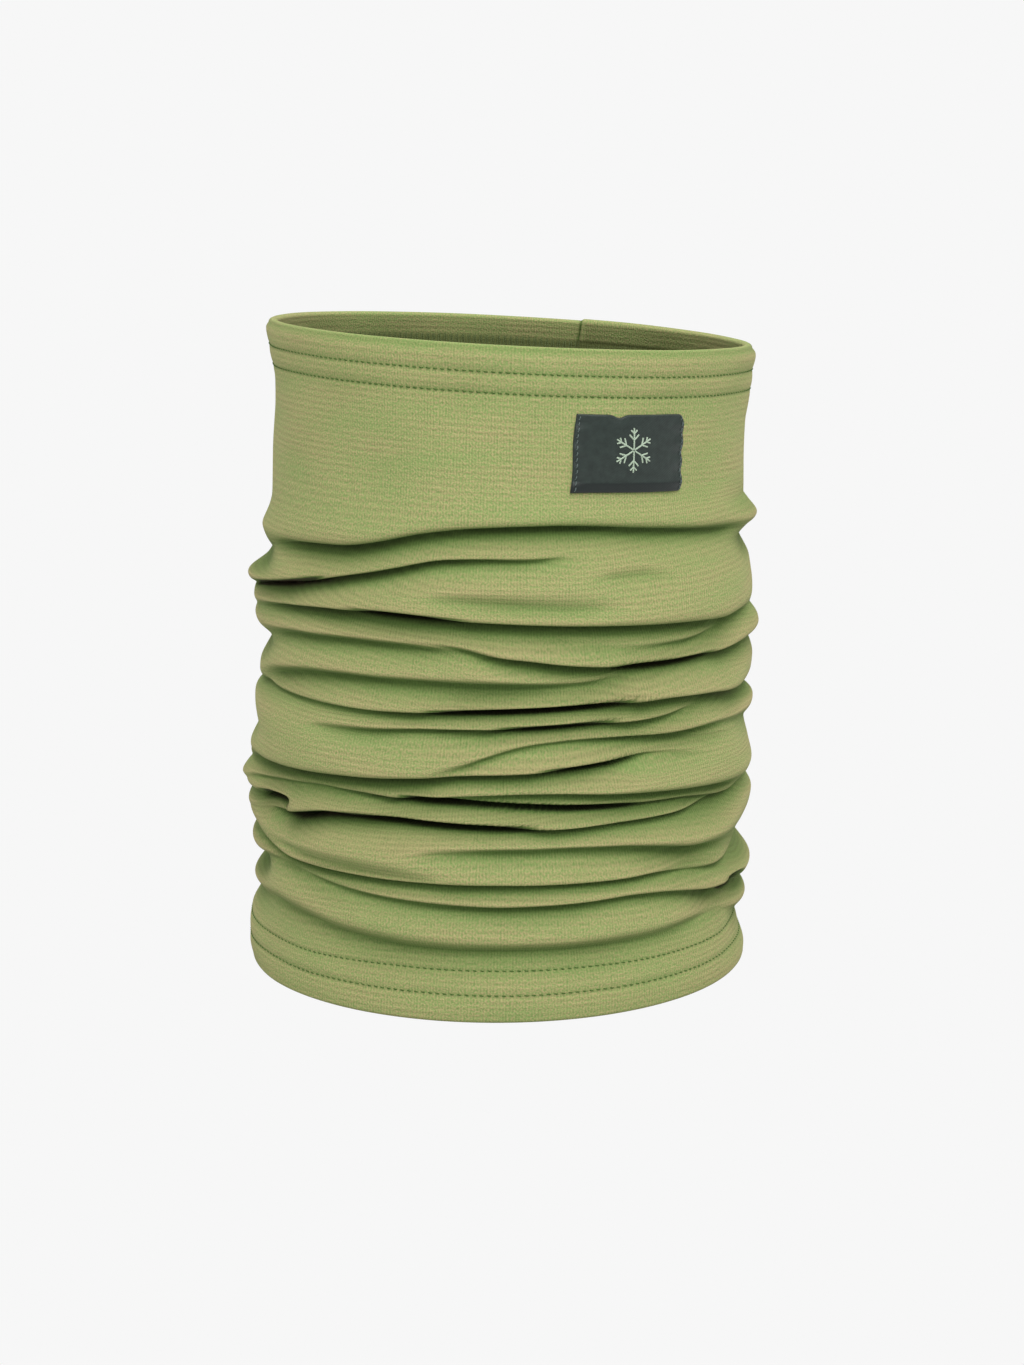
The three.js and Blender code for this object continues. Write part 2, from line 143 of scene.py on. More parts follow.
# Creases of the gathers. Each has how quickly the cloth comes out of it above and below, and points of
# azimuth, height of the lip above the crease, and depth. One that runs past 180 goes on round the back.
# The heights were read by eye, and some were corrected later with a program's measurement at hand.
SHARP = (3.0, 2.6)
FIRM = (3.6, 3.8)
SOFT = (4.2, 4.4)
BROAD = (5.0, 5.4)
CREASES = [
    (FIRM, [(-100, 145, 3), (-84, 143.5, 2.5), (-70, 147.5, 1.6), (-60, 149.6, 3), (-52, 150.5, 4),
            (-38, 151.5, 4.6), (-30, 153.5, 4.6), (-20, 156.8, 4.2), (-10, 158.7, 4), (0, 159.6, 4.2),
            (12, 159.8, 4.2), (22, 159, 3.8), (38, 156.8, 3.4), (53, 154.9, 3), (70, 153.2, 2.6),
            (84, 152.4, 3), (110, 154, 4), (140, 157, 4.4), (165, 155, 4), (200, 151, 4), (230, 148, 3.6),
            (260, 145, 3)]),
    (SHARP, [(-285, 125.4, 0), (-276, 125, 3), (-255, 125, 4), (-230, 127.5, 4.4), (-200, 129, 4.6),
             (-165, 127, 4.6), (-140, 125, 4.4), (-110, 128, 4.6), (-90, 130.5, 5), (-75, 133, 5.3),
             (-60, 136.2, 5.5), (-50, 138.6, 5.3), (-42, 141, 5.1), (-30, 144.2, 5), (-15, 149, 4),
             (-5, 149.5, 3), (6, 149, 2.4), (15, 150, 1.2), (22, 151, 0)]),
    (FIRM, [(-120, 119, 0), (-100, 121.5, 3), (-84, 125, 3), (-75, 126.4, 3.4), (-60, 129, 4),
            (-45, 131, 4.6), (-32, 131.7, 5.1), (-22, 131.4, 5.3), (-12, 130.7, 5.1), (0, 129.8, 5),
            (15, 128.7, 4.8), (30, 127.6, 4.4), (45, 126.3, 4), (60, 124.8, 3.8), (75, 125, 3.4),
            (84, 125, 2), (92, 125, 0)]),
    (SOFT, [(-6, 127.8, 0), (4, 126, 1.8), (15, 123.2, 2.2), (30, 120.5, 2.6), (45, 120.2, 3.6),
            (55, 121.4, 3.8), (64, 123.8, 2), (72, 125, 0)]),
    (SOFT, [(-24, 153.6, 0), (-12, 156, 1.4), (6, 157, 1.8), (20, 156.4, 0)]),
    (SOFT, [(-24, 138.5, 0), (-12, 137.6, 1.2), (2, 136.2, 1.6), (18, 134.8, 1.2), (32, 135.4, 0)]),
    (SOFT, [(16, 144.6, 0), (24, 144, 1.2), (34, 144.2, 1.2), (46, 140.6, 0)]),
    (SOFT, [(36, 88.4, 0), (46, 87.6, 2.4), (58, 87.3, 2), (70, 87, 0)]),
    (SOFT, [(-72, 50.8, 0), (-60, 50.6, 1.4), (-46, 49.4, 1.6), (-30, 48.8, 1.8), (-16, 48.2, 1.4),
            (-4, 48, 0)]),
    (BROAD, [(-110, 113, 3), (-84, 114.5, 3), (-68, 119.2, 3), (-55, 121.2, 3.8), (-38, 122.3, 4),
             (-22, 122.2, 4), (-10, 121, 3), (0, 119.6, 0)]),
    (SHARP, [(-20, 122.3, 0), (-10, 120.6, 2.4), (0, 118.8, 4), (12, 116.4, 5), (24, 114.6, 5.1),
             (34, 114, 5.4), (46, 113.8, 5.4), (56, 114.1, 5.1), (66, 114.7, 5), (84, 114.5, 3),
             (110, 113.5, 4), (140, 112, 4.4), (165, 111, 4.4), (200, 112.5, 4.4), (230, 114, 4),
             (250, 113, 2), (262, 113, 0)]),
    (SOFT, [(0, 118, 0), (5, 116.8, 1.6), (11, 114.6, 2.8), (17, 113.3, 3), (25, 113.4, 1.6),
            (32, 113.6, 0)]),
    (BROAD, [(-80, 102, 0), (-70, 104.6, 2.6), (-60, 107.6, 3.6), (-50, 109.8, 3.8), (-38, 110.8, 4),
             (-15, 110.8, 4), (0, 110.5, 4), (15, 109.8, 3.6), (22, 110.2, 3.6), (28, 112, 3.2),
             (33, 113.6, 1.6), (37, 114, 0)]),
    (SOFT, [(-24, 105.6, 0), (-12, 106, 2.6), (0, 106.8, 3), (15, 107, 3.2), (22, 108, 3),
            (28, 110.4, 2.6), (33, 112.8, 1.4), (37, 114, 0)]),
    (SHARP, [(-200, 100, 4.4), (-165, 99, 4.4), (-140, 98, 4), (-110, 99, 4), (-84, 98.8, 3.4),
             (-70, 101.6, 4.6), (-62, 100.4, 3), (-45, 100, 2.6), (-30, 99.8, 3), (-18, 100.4, 4.4),
             (-6, 101, 5.2), (2, 101.4, 5.4), (24, 102.2, 5.4), (32, 102.8, 5.1), (40, 102.8, 4),
             (52, 101.5, 4), (62, 100.1, 4.8), (75, 98, 4), (84, 96.6, 3), (110, 97, 4), (135, 99, 4.4),
             (160, 100, 4.4)]),
    (FIRM, [(-52, 93.4, 0), (-42, 93.4, 1.6), (-30, 93.9, 2.8), (-18, 95.3, 3.6), (0, 95.6, 5),
            (8, 95.9, 5.2), (22, 96.3, 5.2), (32, 96.2, 4.4), (40, 96.9, 3.4), (50, 98.7, 2.6),
            (60, 99.6, 0)]),
    (FIRM, [(-18, 80.4, 0), (-10, 83.4, 2), (0, 88.4, 3.2), (6, 90.2, 3.8), (15, 91.1, 4.2), (30, 91, 5),
            (42, 90.6, 4.4), (52, 90.6, 2.8), (60, 90.6, 1.8), (75, 88.5, 2.6), (84, 86, 2.6),
            (105, 85, 4), (130, 83, 4.4), (160, 82, 4.4), (195, 84, 4.4), (225, 85, 4), (250, 85, 3.4),
            (276, 83.6, 2), (288, 83.5, 0)]),
    (SHARP, [(-250, 71, 0), (-225, 73, 3), (-195, 74, 4.4), (-165, 72, 4.4), (-140, 70, 4.2),
             (-110, 68.5, 4), (-90, 70, 3.6), (-75, 74, 4), (-60, 76.1, 4.4), (-45, 77.2, 4.4),
             (-30, 78.5, 4.6), (-15, 80.5, 5), (-5, 81.4, 5), (6, 81.9, 4.8), (15, 82.4, 5.2),
             (25, 83.5, 5.3), (30, 84.5, 4.4), (34, 85, 3), (42, 84, 2.4), (50, 82.2, 1.4), (58, 81, 0)]),
    (FIRM, [(-24, 72.8, 0), (-16, 73.2, 2.4), (-8, 74.5, 3.4), (4, 75.2, 3.8), (15, 74.8, 3.8),
            (30, 73, 3.6), (45, 71.3, 3.4), (60, 69.3, 3.4), (72, 67.5, 2.4), (84, 66.6, 0)]),
    (SHARP, [(-100, 57.5, 0), (-90, 61.5, 2), (-75, 67.6, 2.6), (-60, 70.4, 2.8), (-45, 72.6, 3),
             (-30, 72.8, 3.4), (-20, 72.6, 5.2), (-14, 72.4, 5.4), (-6, 71.8, 5.2), (5, 70.8, 5.2),
             (16, 69.6, 5.3), (26, 69, 5.1), (34, 68.5, 4.4), (45, 67.8, 4), (54, 66.2, 4),
             (62, 64.4, 2.6), (68, 64, 0)]),
    (SHARP, [(-200, 58, 0), (-165, 57, 4), (-140, 56, 4.2), (-110, 57, 4), (-84, 60.8, 3), (-74, 62.4, 4),
             (-67, 63.4, 5.4), (-60, 64.3, 5), (-54, 64.6, 0)]),
    (SHARP, [(-96, 51, 0), (-84, 54.6, 1.6), (-68, 58.6, 2.6), (-57, 60, 5.2), (-49, 62.2, 5.4),
             (-42, 64.4, 5.2), (-35, 65.2, 5.2), (-24, 65.3, 5.4), (-8, 64.5, 5.4), (2, 63.9, 5.2),
             (15, 63.1, 5), (30, 63.5, 4.8), (45, 63.6, 4.8), (55, 64, 5.1), (61, 64.4, 5.1),
             (70, 65.8, 4), (84, 66.4, 3), (110, 65, 4), (140, 62, 4.2), (170, 60, 4), (200, 58.4, 2.6),
             (220, 57, 0)]),
    (BROAD, [(-24, 55.2, 0), (-15, 56.4, 2), (0, 57.2, 3.8), (15, 57, 4), (30, 55.7, 4), (40, 53.5, 4.2),
             (48, 51.1, 4.6), (60, 50, 2.8), (72, 48.8, 2.4), (84, 48, 0)]),
    (SHARP, [(-200, 45, 4.4), (-165, 45.4, 4.4), (-140, 45, 4), (-110, 46.6, 4), (-84, 48.6, 3),
             (-68, 48, 2.6), (-56, 45.4, 3.2), (-30, 45.6, 3.6), (-12, 45.8, 3.6), (0, 45.8, 3.8),
             (15, 45.3, 3.4), (30, 44.9, 3.6), (38, 44.9, 3.6), (47, 42.8, 3.2), (58, 41.4, 3),
             (72, 42.6, 3), (84, 44, 3), (110, 45, 4), (135, 44, 4.4), (160, 45, 4.4)]),
    (SOFT, [(36, 45.2, 0), (42, 45.4, 2), (48, 45.6, 3), (56, 45, 2.2), (66, 44.2, 0)]),
    (FIRM, [(-225, 33, 4), (-200, 34, 4), (-165, 36, 4), (-140, 36, 4), (-110, 36.4, 3.6), (-84, 37.6, 3),
            (-68, 42.6, 2.4), (-56, 43.2, 2.6), (-46, 41.6, 2.8), (-38, 40.6, 2.8), (-15, 38.9, 3),
            (0, 38.3, 3.4), (15, 38.7, 3.6), (30, 39.2, 3.4), (40, 38, 3.2), (50, 35.7, 3.6), (57, 34, 5),
            (61, 33.6, 5.1), (66, 33, 5.1), (70, 32, 5), (76, 30, 4), (84, 28, 3), (110, 28, 3.6),
            (135, 33, 4)]),
    (BROAD, [(-190, 22, 3), (-165, 23, 3), (-140, 23, 3), (-110, 24, 3), (-84, 25.6, 2.4),
             (-72, 28.2, 2.6), (-60, 29.8, 2.4), (-50, 28.8, 2.4), (-38, 26.6, 2.6), (-22, 24.8, 2.8),
             (0, 24.4, 2.8), (22, 24.6, 2.8), (38, 24.8, 2.4), (52, 26, 2.2), (62, 26, 2.2),
             (74, 21.5, 2.6), (84, 17.5, 2.4), (110, 18, 3), (135, 21, 3), (170, 22, 3)]),
    (FIRM, [(112, 106, 0), (130, 106, 3), (160, 105, 4), (195, 106, 4), (225, 107, 3), (240, 107, 0)]),
    (FIRM, [(104, 139, 0), (125, 141, 3), (150, 140, 3.6), (180, 138, 3.6), (205, 138, 2.6),
            (222, 139, 0)]),
]
# Where a crease stands a little open: how tall it gapes, and points of azimuth, height and depth.
GAPS = [
    (0.7, [(-82, 131, 0), (-74, 132.8, 5), (-64, 134.7, 8), (-54, 137.2, 5), (-44, 140, 0)]),
    (0.8, [(-36, 131, 0), (-24, 130.7, 6), (-16, 130.3, 3), (-8, 129.8, 0)]),
    (0.8, [(24, 114, 0), (33, 113.6, 5), (42, 113.2, 6), (50, 113.3, 3), (56, 113.6, 0)]),
    (0.8, [(-18, 100, 0), (-6, 100.6, 5), (4, 101, 7), (16, 101.5, 6), (24, 101.8, 5), (31, 102.2, 0)]),
    (0.7, [(-2, 95.2, 0), (8, 95.5, 4), (18, 96, 4), (28, 96.1, 0)]),
    (0.7, [(8, 81.7, 0), (16, 82.1, 4), (25, 83, 5), (31, 84, 0)]),
    (0.9, [(-23, 72.4, 0), (-16, 72.1, 7), (-8, 71.6, 5), (0, 70.8, 4), (14, 69.3, 6), (24, 68.6, 4),
           (34, 68, 0)]),
    (0.9, [(-60, 59.2, 0), (-54, 59.6, 5), (-48, 61.6, 7), (-42, 63.6, 4), (-34, 64.6, 3), (-24, 64.8, 8),
           (-10, 64.1, 8), (0, 63.5, 5), (9, 63, 0)]),
    (1.1, [(-71, 62.2, 0), (-66, 63.2, 9), (-60, 63.9, 5), (-55, 64.3, 0)]),
    (1.9, [(66, 32.1, 0), (68, 31.9, 13), (72, 31.6, 15), (74.5, 31.3, 0)]),
]
POCKET = GAPS[-1:]  # the small pocket between two rolls at the right edge
GAP_FULL_SHADE = 7  # depth of a gap, in millimetres, at which its painted shade is full
POCKET_FULL_SHADE = 2.5  # the same for the pocket, painted darker in shade than its depth alone makes it
OVERHANG = 0.9  # how far a crease is drawn up behind its lip, per millimetre of depth
DEEPEN = 1.5  # all crease depths are multiplied by this
LIP_CURL = 1.5  # how roundly the cloth turns under at a lip
CREASE_CUSP = 1.0  # how steeply the cloth below comes out of a crease


def smooth_line(points, at, spread=2.5):
    """A rounded line through points of (position, value), read at the given positions."""
    points = np.array(points, float)
    fine = np.arange(points[0, 0] - 4 * spread, points[-1, 0] + 4 * spread, spread / 5)
    values = np.interp(fine, points[:, 0], points[:, 1])
    reach = np.arange(-15, 16) / 5
    bell = np.exp(-reach**2 / 2)
    padded = np.pad(values, 15, mode="edge")
    return np.interp(at, fine, np.convolve(padded, bell / bell.sum(), mode="valid"))


def ease(low, high, x):
    t = np.clip((x - low) / (high - low), 0, 1)
    return t * t * (3 - 2 * t)


def side_share(azimuth, side):
    away = np.abs((azimuth - side * SIDE_AZIMUTH + 180) % 360 - 180)
    return np.cos(np.pi / 2 * np.clip(away / SIDE_REACH, 0, 1)) ** 2


def face_radius(azimuth, z):
    """Half-width of the cloth's face without its creases. Azimuth is a column, z a row."""
    back = ease(70, 110, np.abs((azimuth + 180) % 360 - 180))
    radius = (1 - back) * smooth_line(FRONT_FACE, z) + back * smooth_line(BACK_FACE, z)
    sine = math.sin(math.radians(SIDE_AZIMUTH))
    for side, outline in ((-1, LEFT_SIDE), (1, RIGHT_SIDE)):
        at_side = (smooth_line(outline, z, 0.9) - side * axis_x(z)) / sine
        share = side_share(azimuth, side)
        radius = radius * (1 - share) + at_side * share
    return radius


def lip_height(depth, rise_above):
    """How far above the bottom of a crease its lip hangs, once the crease is drawn up behind it."""
    above = np.linspace(0, 2.4 * rise_above, 40)
    out = depth[..., None] * np.exp(-((above / rise_above) ** LIP_CURL))
    height = above + OVERHANG * out
    steepest = np.argmin(np.gradient(height, axis=-1), axis=-1)
    past_it = np.arange(len(above)) >= steepest[..., None]
    return np.min(np.where(past_it, height, np.inf), axis=-1)


def crease_depth(azimuth, z):
    """How far the creases draw the cloth in. Where two meet, the deeper one counts."""
    total = np.zeros(np.broadcast(azimuth, z).shape)
    held = DEEPEN * (1 - 0.65 * (side_share(azimuth, -1) + side_share(azimuth, 1)))
    for (rise_above, rise_below), points in CREASES:
        points = np.array(points, float)
        for turn in (-360, 0, 360):
            inside = (azimuth + turn >= points[0, 0]) & (azimuth + turn < points[-1, 0])
            if not inside.any():
                continue
            lip = smooth_line(points[:, [0, 1]], azimuth + turn)
            depth = np.where(inside, held * smooth_line(points[:, [0, 2]], azimuth + turn), 0)
            above = z - (lip - 0.1 * depth - lip_height(depth, rise_above))
            out = np.exp(-((np.maximum(above, 0) / rise_above) ** LIP_CURL))
            out *= np.exp(-((np.maximum(-above, 0) / rise_below) ** CREASE_CUSP))
            total += (depth * out) ** 3
    return np.cbrt(total)


def gap_depth(azimuth, height, gaps=GAPS):
    """How far back the cloth stands where a crease gapes."""
    total = np.zeros(np.broadcast(azimuth, height).shape)
    for tall, points in gaps:
        points = np.array(points, float)
        middle_height = smooth_line(points[:, [0, 1]], azimuth, 1.2)
        depth = smooth_line(points[:, [0, 2]], azimuth, 1.2)
        total += depth * np.exp(-(np.abs((height - middle_height) / tall) ** 3))
    return total


def soft_waves(azimuth, z):
    """Slow unevenness of relaxed cloth."""
    a = np.radians(azimuth)
    waves = 0.30 * np.sin(3 * a + z / 21) + 0.22 * np.sin(5 * a - z / 13 + 1.3)
    waves += 0.16 * np.sin(9 * a + z / 8 + 0.4) + 0.12 * np.sin(14 * a - z / 6 + 2.1)
    return waves * ease(0, 12, z)


def hem_relief(z):
    """The hems: needle rows pulled in, the doubled cloth standing proud beside them."""
    relief = np.zeros_like(z)
    for rows, edge in ((UPPER_ROWS, TUBE_HEIGHT), (LOWER_ROWS, 0)):
        for row in rows:
            relief -= 0.24 * np.exp(-(((z - row) / 0.75) ** 2))
        between = (rows[0] + rows[1]) / 2
        relief += 0.22 * np.exp(-(((z - between) / 2.2) ** 2))
        relief += 0.22 * np.exp(-(((z - (rows[0] + edge) / 2) / 3.0) ** 2))
    return relief - 1.7 * ease(TUBE_HEIGHT - 3.4, TUBE_HEIGHT + 0.6, z) ** 2


def seam_groove(azimuth):
    """The overlocked seam shows outside as a shallow groove with the cloth lying up on both sides."""
    off = (azimuth - SEAM_AZIMUTH + 180) % 360 - 180
    return 0.35 * np.exp(-((off / 2.4) ** 2)) - 0.75 * np.exp(-((off / 0.55) ** 2))


def cloth_face(azimuth, z):
    """Radius and height of points of the cloth's outer face. The rim steps up on one side of the seam."""
    depth = crease_depth(azimuth, z)
    height = z + OVERHANG * depth
    radius = face_radius(azimuth, height) + soft_waves(azimuth, height)
    radius = radius + hem_relief(z) + seam_groove(azimuth)
    radius = radius - depth
    off = SEAM_AZIMUTH - azimuth
    lifted = RIM_STEP * ease(-0.8, 0.4, off) * (1 - ease(4, 50, off)) * ease(TUBE_HEIGHT - 8, TUBE_HEIGHT, z)
    return radius - gap_depth(azimuth, height), height + lifted


def placed(azimuth, radius, z):
    """Points in the shared frame, in millimetres, from azimuth, radius and height before the rim's slope."""
    a = np.radians(azimuth)
    x = radius * np.sin(a)
    slope = RIM_SLOPE * np.clip((z - BAND_FOOT) / SLOPE_RISE, 0, 1)
    return np.stack([axis_x(z) + x, -DEPTH_SHARE * radius * np.cos(a), z - slope * x], axis=-1)


# ---------------------------------------------------------------- meshes


def mesh_piece(name, points, faces, uv=None, tones=None):
    """A smooth-shaded mesh object from points in millimetres. Tones are named values for the points."""
    mesh = bpy.data.meshes.new(name)
    mesh.from_pydata((points * MM).tolist(), [], faces.tolist() if hasattr(faces, "tolist") else faces)
    mesh.shade_smooth()
    if uv is not None:
        layer = mesh.uv_layers.new(name="cloth")
        layer.data.foreach_set("uv", uv.astype(np.float32).ravel())
    for tone, values in (tones or {}).items():
        attribute = mesh.attributes.new(tone, "FLOAT", "POINT")
        attribute.data.foreach_set("value", values.astype(np.float32).ravel())
    mesh.update()
    piece = bpy.data.objects.new(name, mesh)
    bpy.context.scene.collection.objects.link(piece)
    return piece


def torus_faces(rings, columns):
    """Quads of a grid that closes on itself both ways, as indices into rings x columns points."""
    ring, column = np.meshgrid(np.arange(rings), np.arange(columns), indexing="ij")
    next_ring = (ring + 1) % rings
    next_column = (column + 1) % columns
    corners = [
        ring * columns + column,
        ring * columns + next_column,
        next_ring * columns + next_column,
        next_ring * columns + column,
    ]
    return np.stack(corners, axis=-1).reshape(-1, 4)


# ---------------------------------------------------------------- the cloth

COLUMN_STEP = 1.6
SEAM_STEP = 0.5
CLOTH_SAMPLES = 1500  # heights at which the cloth's face is worked out before its rows are picked
GATHERS = (22, 166)  # heights between which the cloth lies in gathers
OUTER_ROWS = 334
INNER_ROWS = 70
ROW_SMOOTHING = 45
FOLD_ROWS = 6
FOLD_LENGTH = 4.5
CLOTH_RADIUS = 83
CROWN_REACH = 30  # how many samples up and down a spot is compared with


def column_azimuths():
    every = np.arange(-180, 180, COLUMN_STEP)
    near = np.arange(SEAM_AZIMUTH - 3, SEAM_AZIMUTH + 3.01, SEAM_STEP)
    far = every[np.abs(every - SEAM_AZIMUTH) > 3.6]
    return np.sort(np.concatenate([far, near]))


def spread_rows(layers, count, dense=1.0):
    """Picks count points along each column, closer together where the cloth turns sharply. The first two
    layers are the radius and height of the column's points, and the others are carried along."""
    dr = np.gradient(layers[0], axis=1)
    dz = np.gradient(layers[1], axis=1)
    step = np.hypot(dr, dz)
    heading = np.unwrap(np.arctan2(dr, dz), axis=1)
    turning = np.abs(np.gradient(heading, axis=1)) / np.maximum(step, 1e-6)
    weight = step * (1 + 4 * np.minimum(turning, 1.4)) * dense
    travelled = np.cumsum(weight, axis=1)
    travelled = (travelled - travelled[:, :1]) / (travelled[:, -1:] - travelled[:, :1])
    for _ in range(ROW_SMOOTHING):
        travelled = (np.roll(travelled, 1, axis=0) + travelled + np.roll(travelled, -1, axis=0)) / 3
    picked = np.empty((len(layers), len(step), count))
    for i in range(len(step)):
        at = np.linspace(travelled[i, 0], travelled[i, -1], count)
        for layer, chosen in zip(layers, picked):
            chosen[i] = np.interp(at, travelled[i], layer[i])
    return picked


def length_along(radius, height):
    step = np.hypot(np.diff(radius, axis=1), np.diff(height, axis=1))
    return np.concatenate([np.zeros((len(step), 1)), np.cumsum(step, axis=1)], axis=1)


def knit_rows(azimuth, z, length):
    """Length along the relaxed cloth, by which the knit is drawn. It is smoothed round the tube, and scaled
    so that both edges and both ends of the gathers come at the same length all the way round."""
    every = np.arange(-180, 180, 2.0)
    bell = np.exp(-((np.minimum(every + 180, 180 - every) / 55) ** 2))
    evenly = np.stack([np.interp(every, azimuth[:, 0], row, period=360) for row in length.T])
    evened = np.fft.irfft(np.fft.rfft(evenly) * np.fft.rfft(bell / bell.sum()), len(every))
    smooth = np.stack([np.interp(azimuth[:, 0], every, row, period=360) for row in evened], axis=1)
    foot, head = np.searchsorted(z[0], GATHERS)
    marks = smooth[:, [0, foot, head, -1]]
    even = marks.mean(axis=0)
    return np.stack([np.interp(row, mark, even) for row, mark in zip(smooth, marks)])


def closed_in(radius, height):
    """How far the cloth around it closes each spot in, from 0 on a flat wall to 1 in a shut crease."""
    above = np.zeros_like(radius)
    below = np.zeros_like(radius)
    for reach in list(range(1, 12)) + list(range(12, 110, 4)):
        dr = radius[:, reach:] - radius[:, :-reach]
        dz = height[:, reach:] - height[:, :-reach]
        above[:, :-reach] = np.maximum(above[:, :-reach], np.arctan2(dr, dz))
        below[:, reach:] = np.maximum(below[:, reach:], np.arctan2(-dr, dz))
    return np.clip((above + below) / np.pi, 0, 1)


def crowned(radius):
    """How far each spot stands out from the cloth above and below it, in millimetres, at most 1 either
    way."""
    padded = np.pad(radius, ((0, 0), (CROWN_REACH + 1, CROWN_REACH)), mode="edge")
    total = np.cumsum(padded, axis=1)
    span = 2 * CROWN_REACH + 1
    return np.clip(radius - (total[:, span:] - total[:, :-span]) / span, -1, 1)


def inner_face(radius, height, z):
    """The inside of the cloth: it clears every crease, bulging inwards round it, as gathered cloth does."""
    levels = np.broadcast_to(z, radius.shape)
    innermost = np.empty_like(radius)
    for i, (r, h) in enumerate(zip(radius, height)):
        slots = np.clip(np.searchsorted(z[0], h), 0, z.shape[1] - 1)
        least = np.full(z.shape[1], np.inf)
        np.minimum.at(least, slots, r)
        innermost[i] = np.where(np.isfinite(least), least, np.interp(z[0], h, r))
    gathered = ease(GATHERS[0] - 4, GATHERS[0] + 4, z) * (1 - ease(GATHERS[1] - 2, GATHERS[1] + 6, z))
    reach = int(3.2 / (z[0, 1] - z[0, 0]))
    padded = np.pad(innermost, ((0, 0), (reach, reach)), mode="edge")
    eroded = np.lib.stride_tricks.sliding_window_view(padded, 2 * reach + 1, axis=1).min(axis=2)
    bell = np.hanning(reach + 2)
    padded = np.pad(eroded, ((0, 0), (len(bell) // 2, (len(bell) - 1) // 2)), mode="edge")
    rounded = np.stack([np.convolve(row, bell / bell.sum(), mode="valid") for row in padded])
    face = gathered * np.minimum(rounded, innermost) + (1 - gathered) * innermost
    return face - cloth_thickness(z), levels


def cloth_thickness(z):
    """Doubled in the hems, a little fuller where the cloth rolls over at the rim."""
    hem = 1 - ease(HEM_DEPTH - 0.5, HEM_DEPTH + 0.5, z)
    hem += ease(TUBE_HEIGHT - HEM_DEPTH - 0.5, TUBE_HEIGHT - HEM_DEPTH + 0.5, z)
    rim_roll = ease(TUBE_HEIGHT - 6.9, TUBE_HEIGHT - 6.2, z)
    return CLOTH + (HEM_FOLD - CLOTH) * hem + RIM_ROLL * rim_roll


def fold_over(start, end, upwards):
    """Points round an edge, from the last point of one face to the first of the other."""
    turn = np.linspace(0, np.pi, FOLD_ROWS + 2)[1:-1][None, :]
    centre = (start + end) / 2
    reach = (start[0] - end[0]) / 2
    fold = centre + (end - start) / 2 * -np.cos(turn)
    fold[1] = centre[1] + upwards * np.abs(reach) * np.sin(turn)
    fold[2] = start[2] + (end[2] - start[2]) * turn / np.pi
    return fold


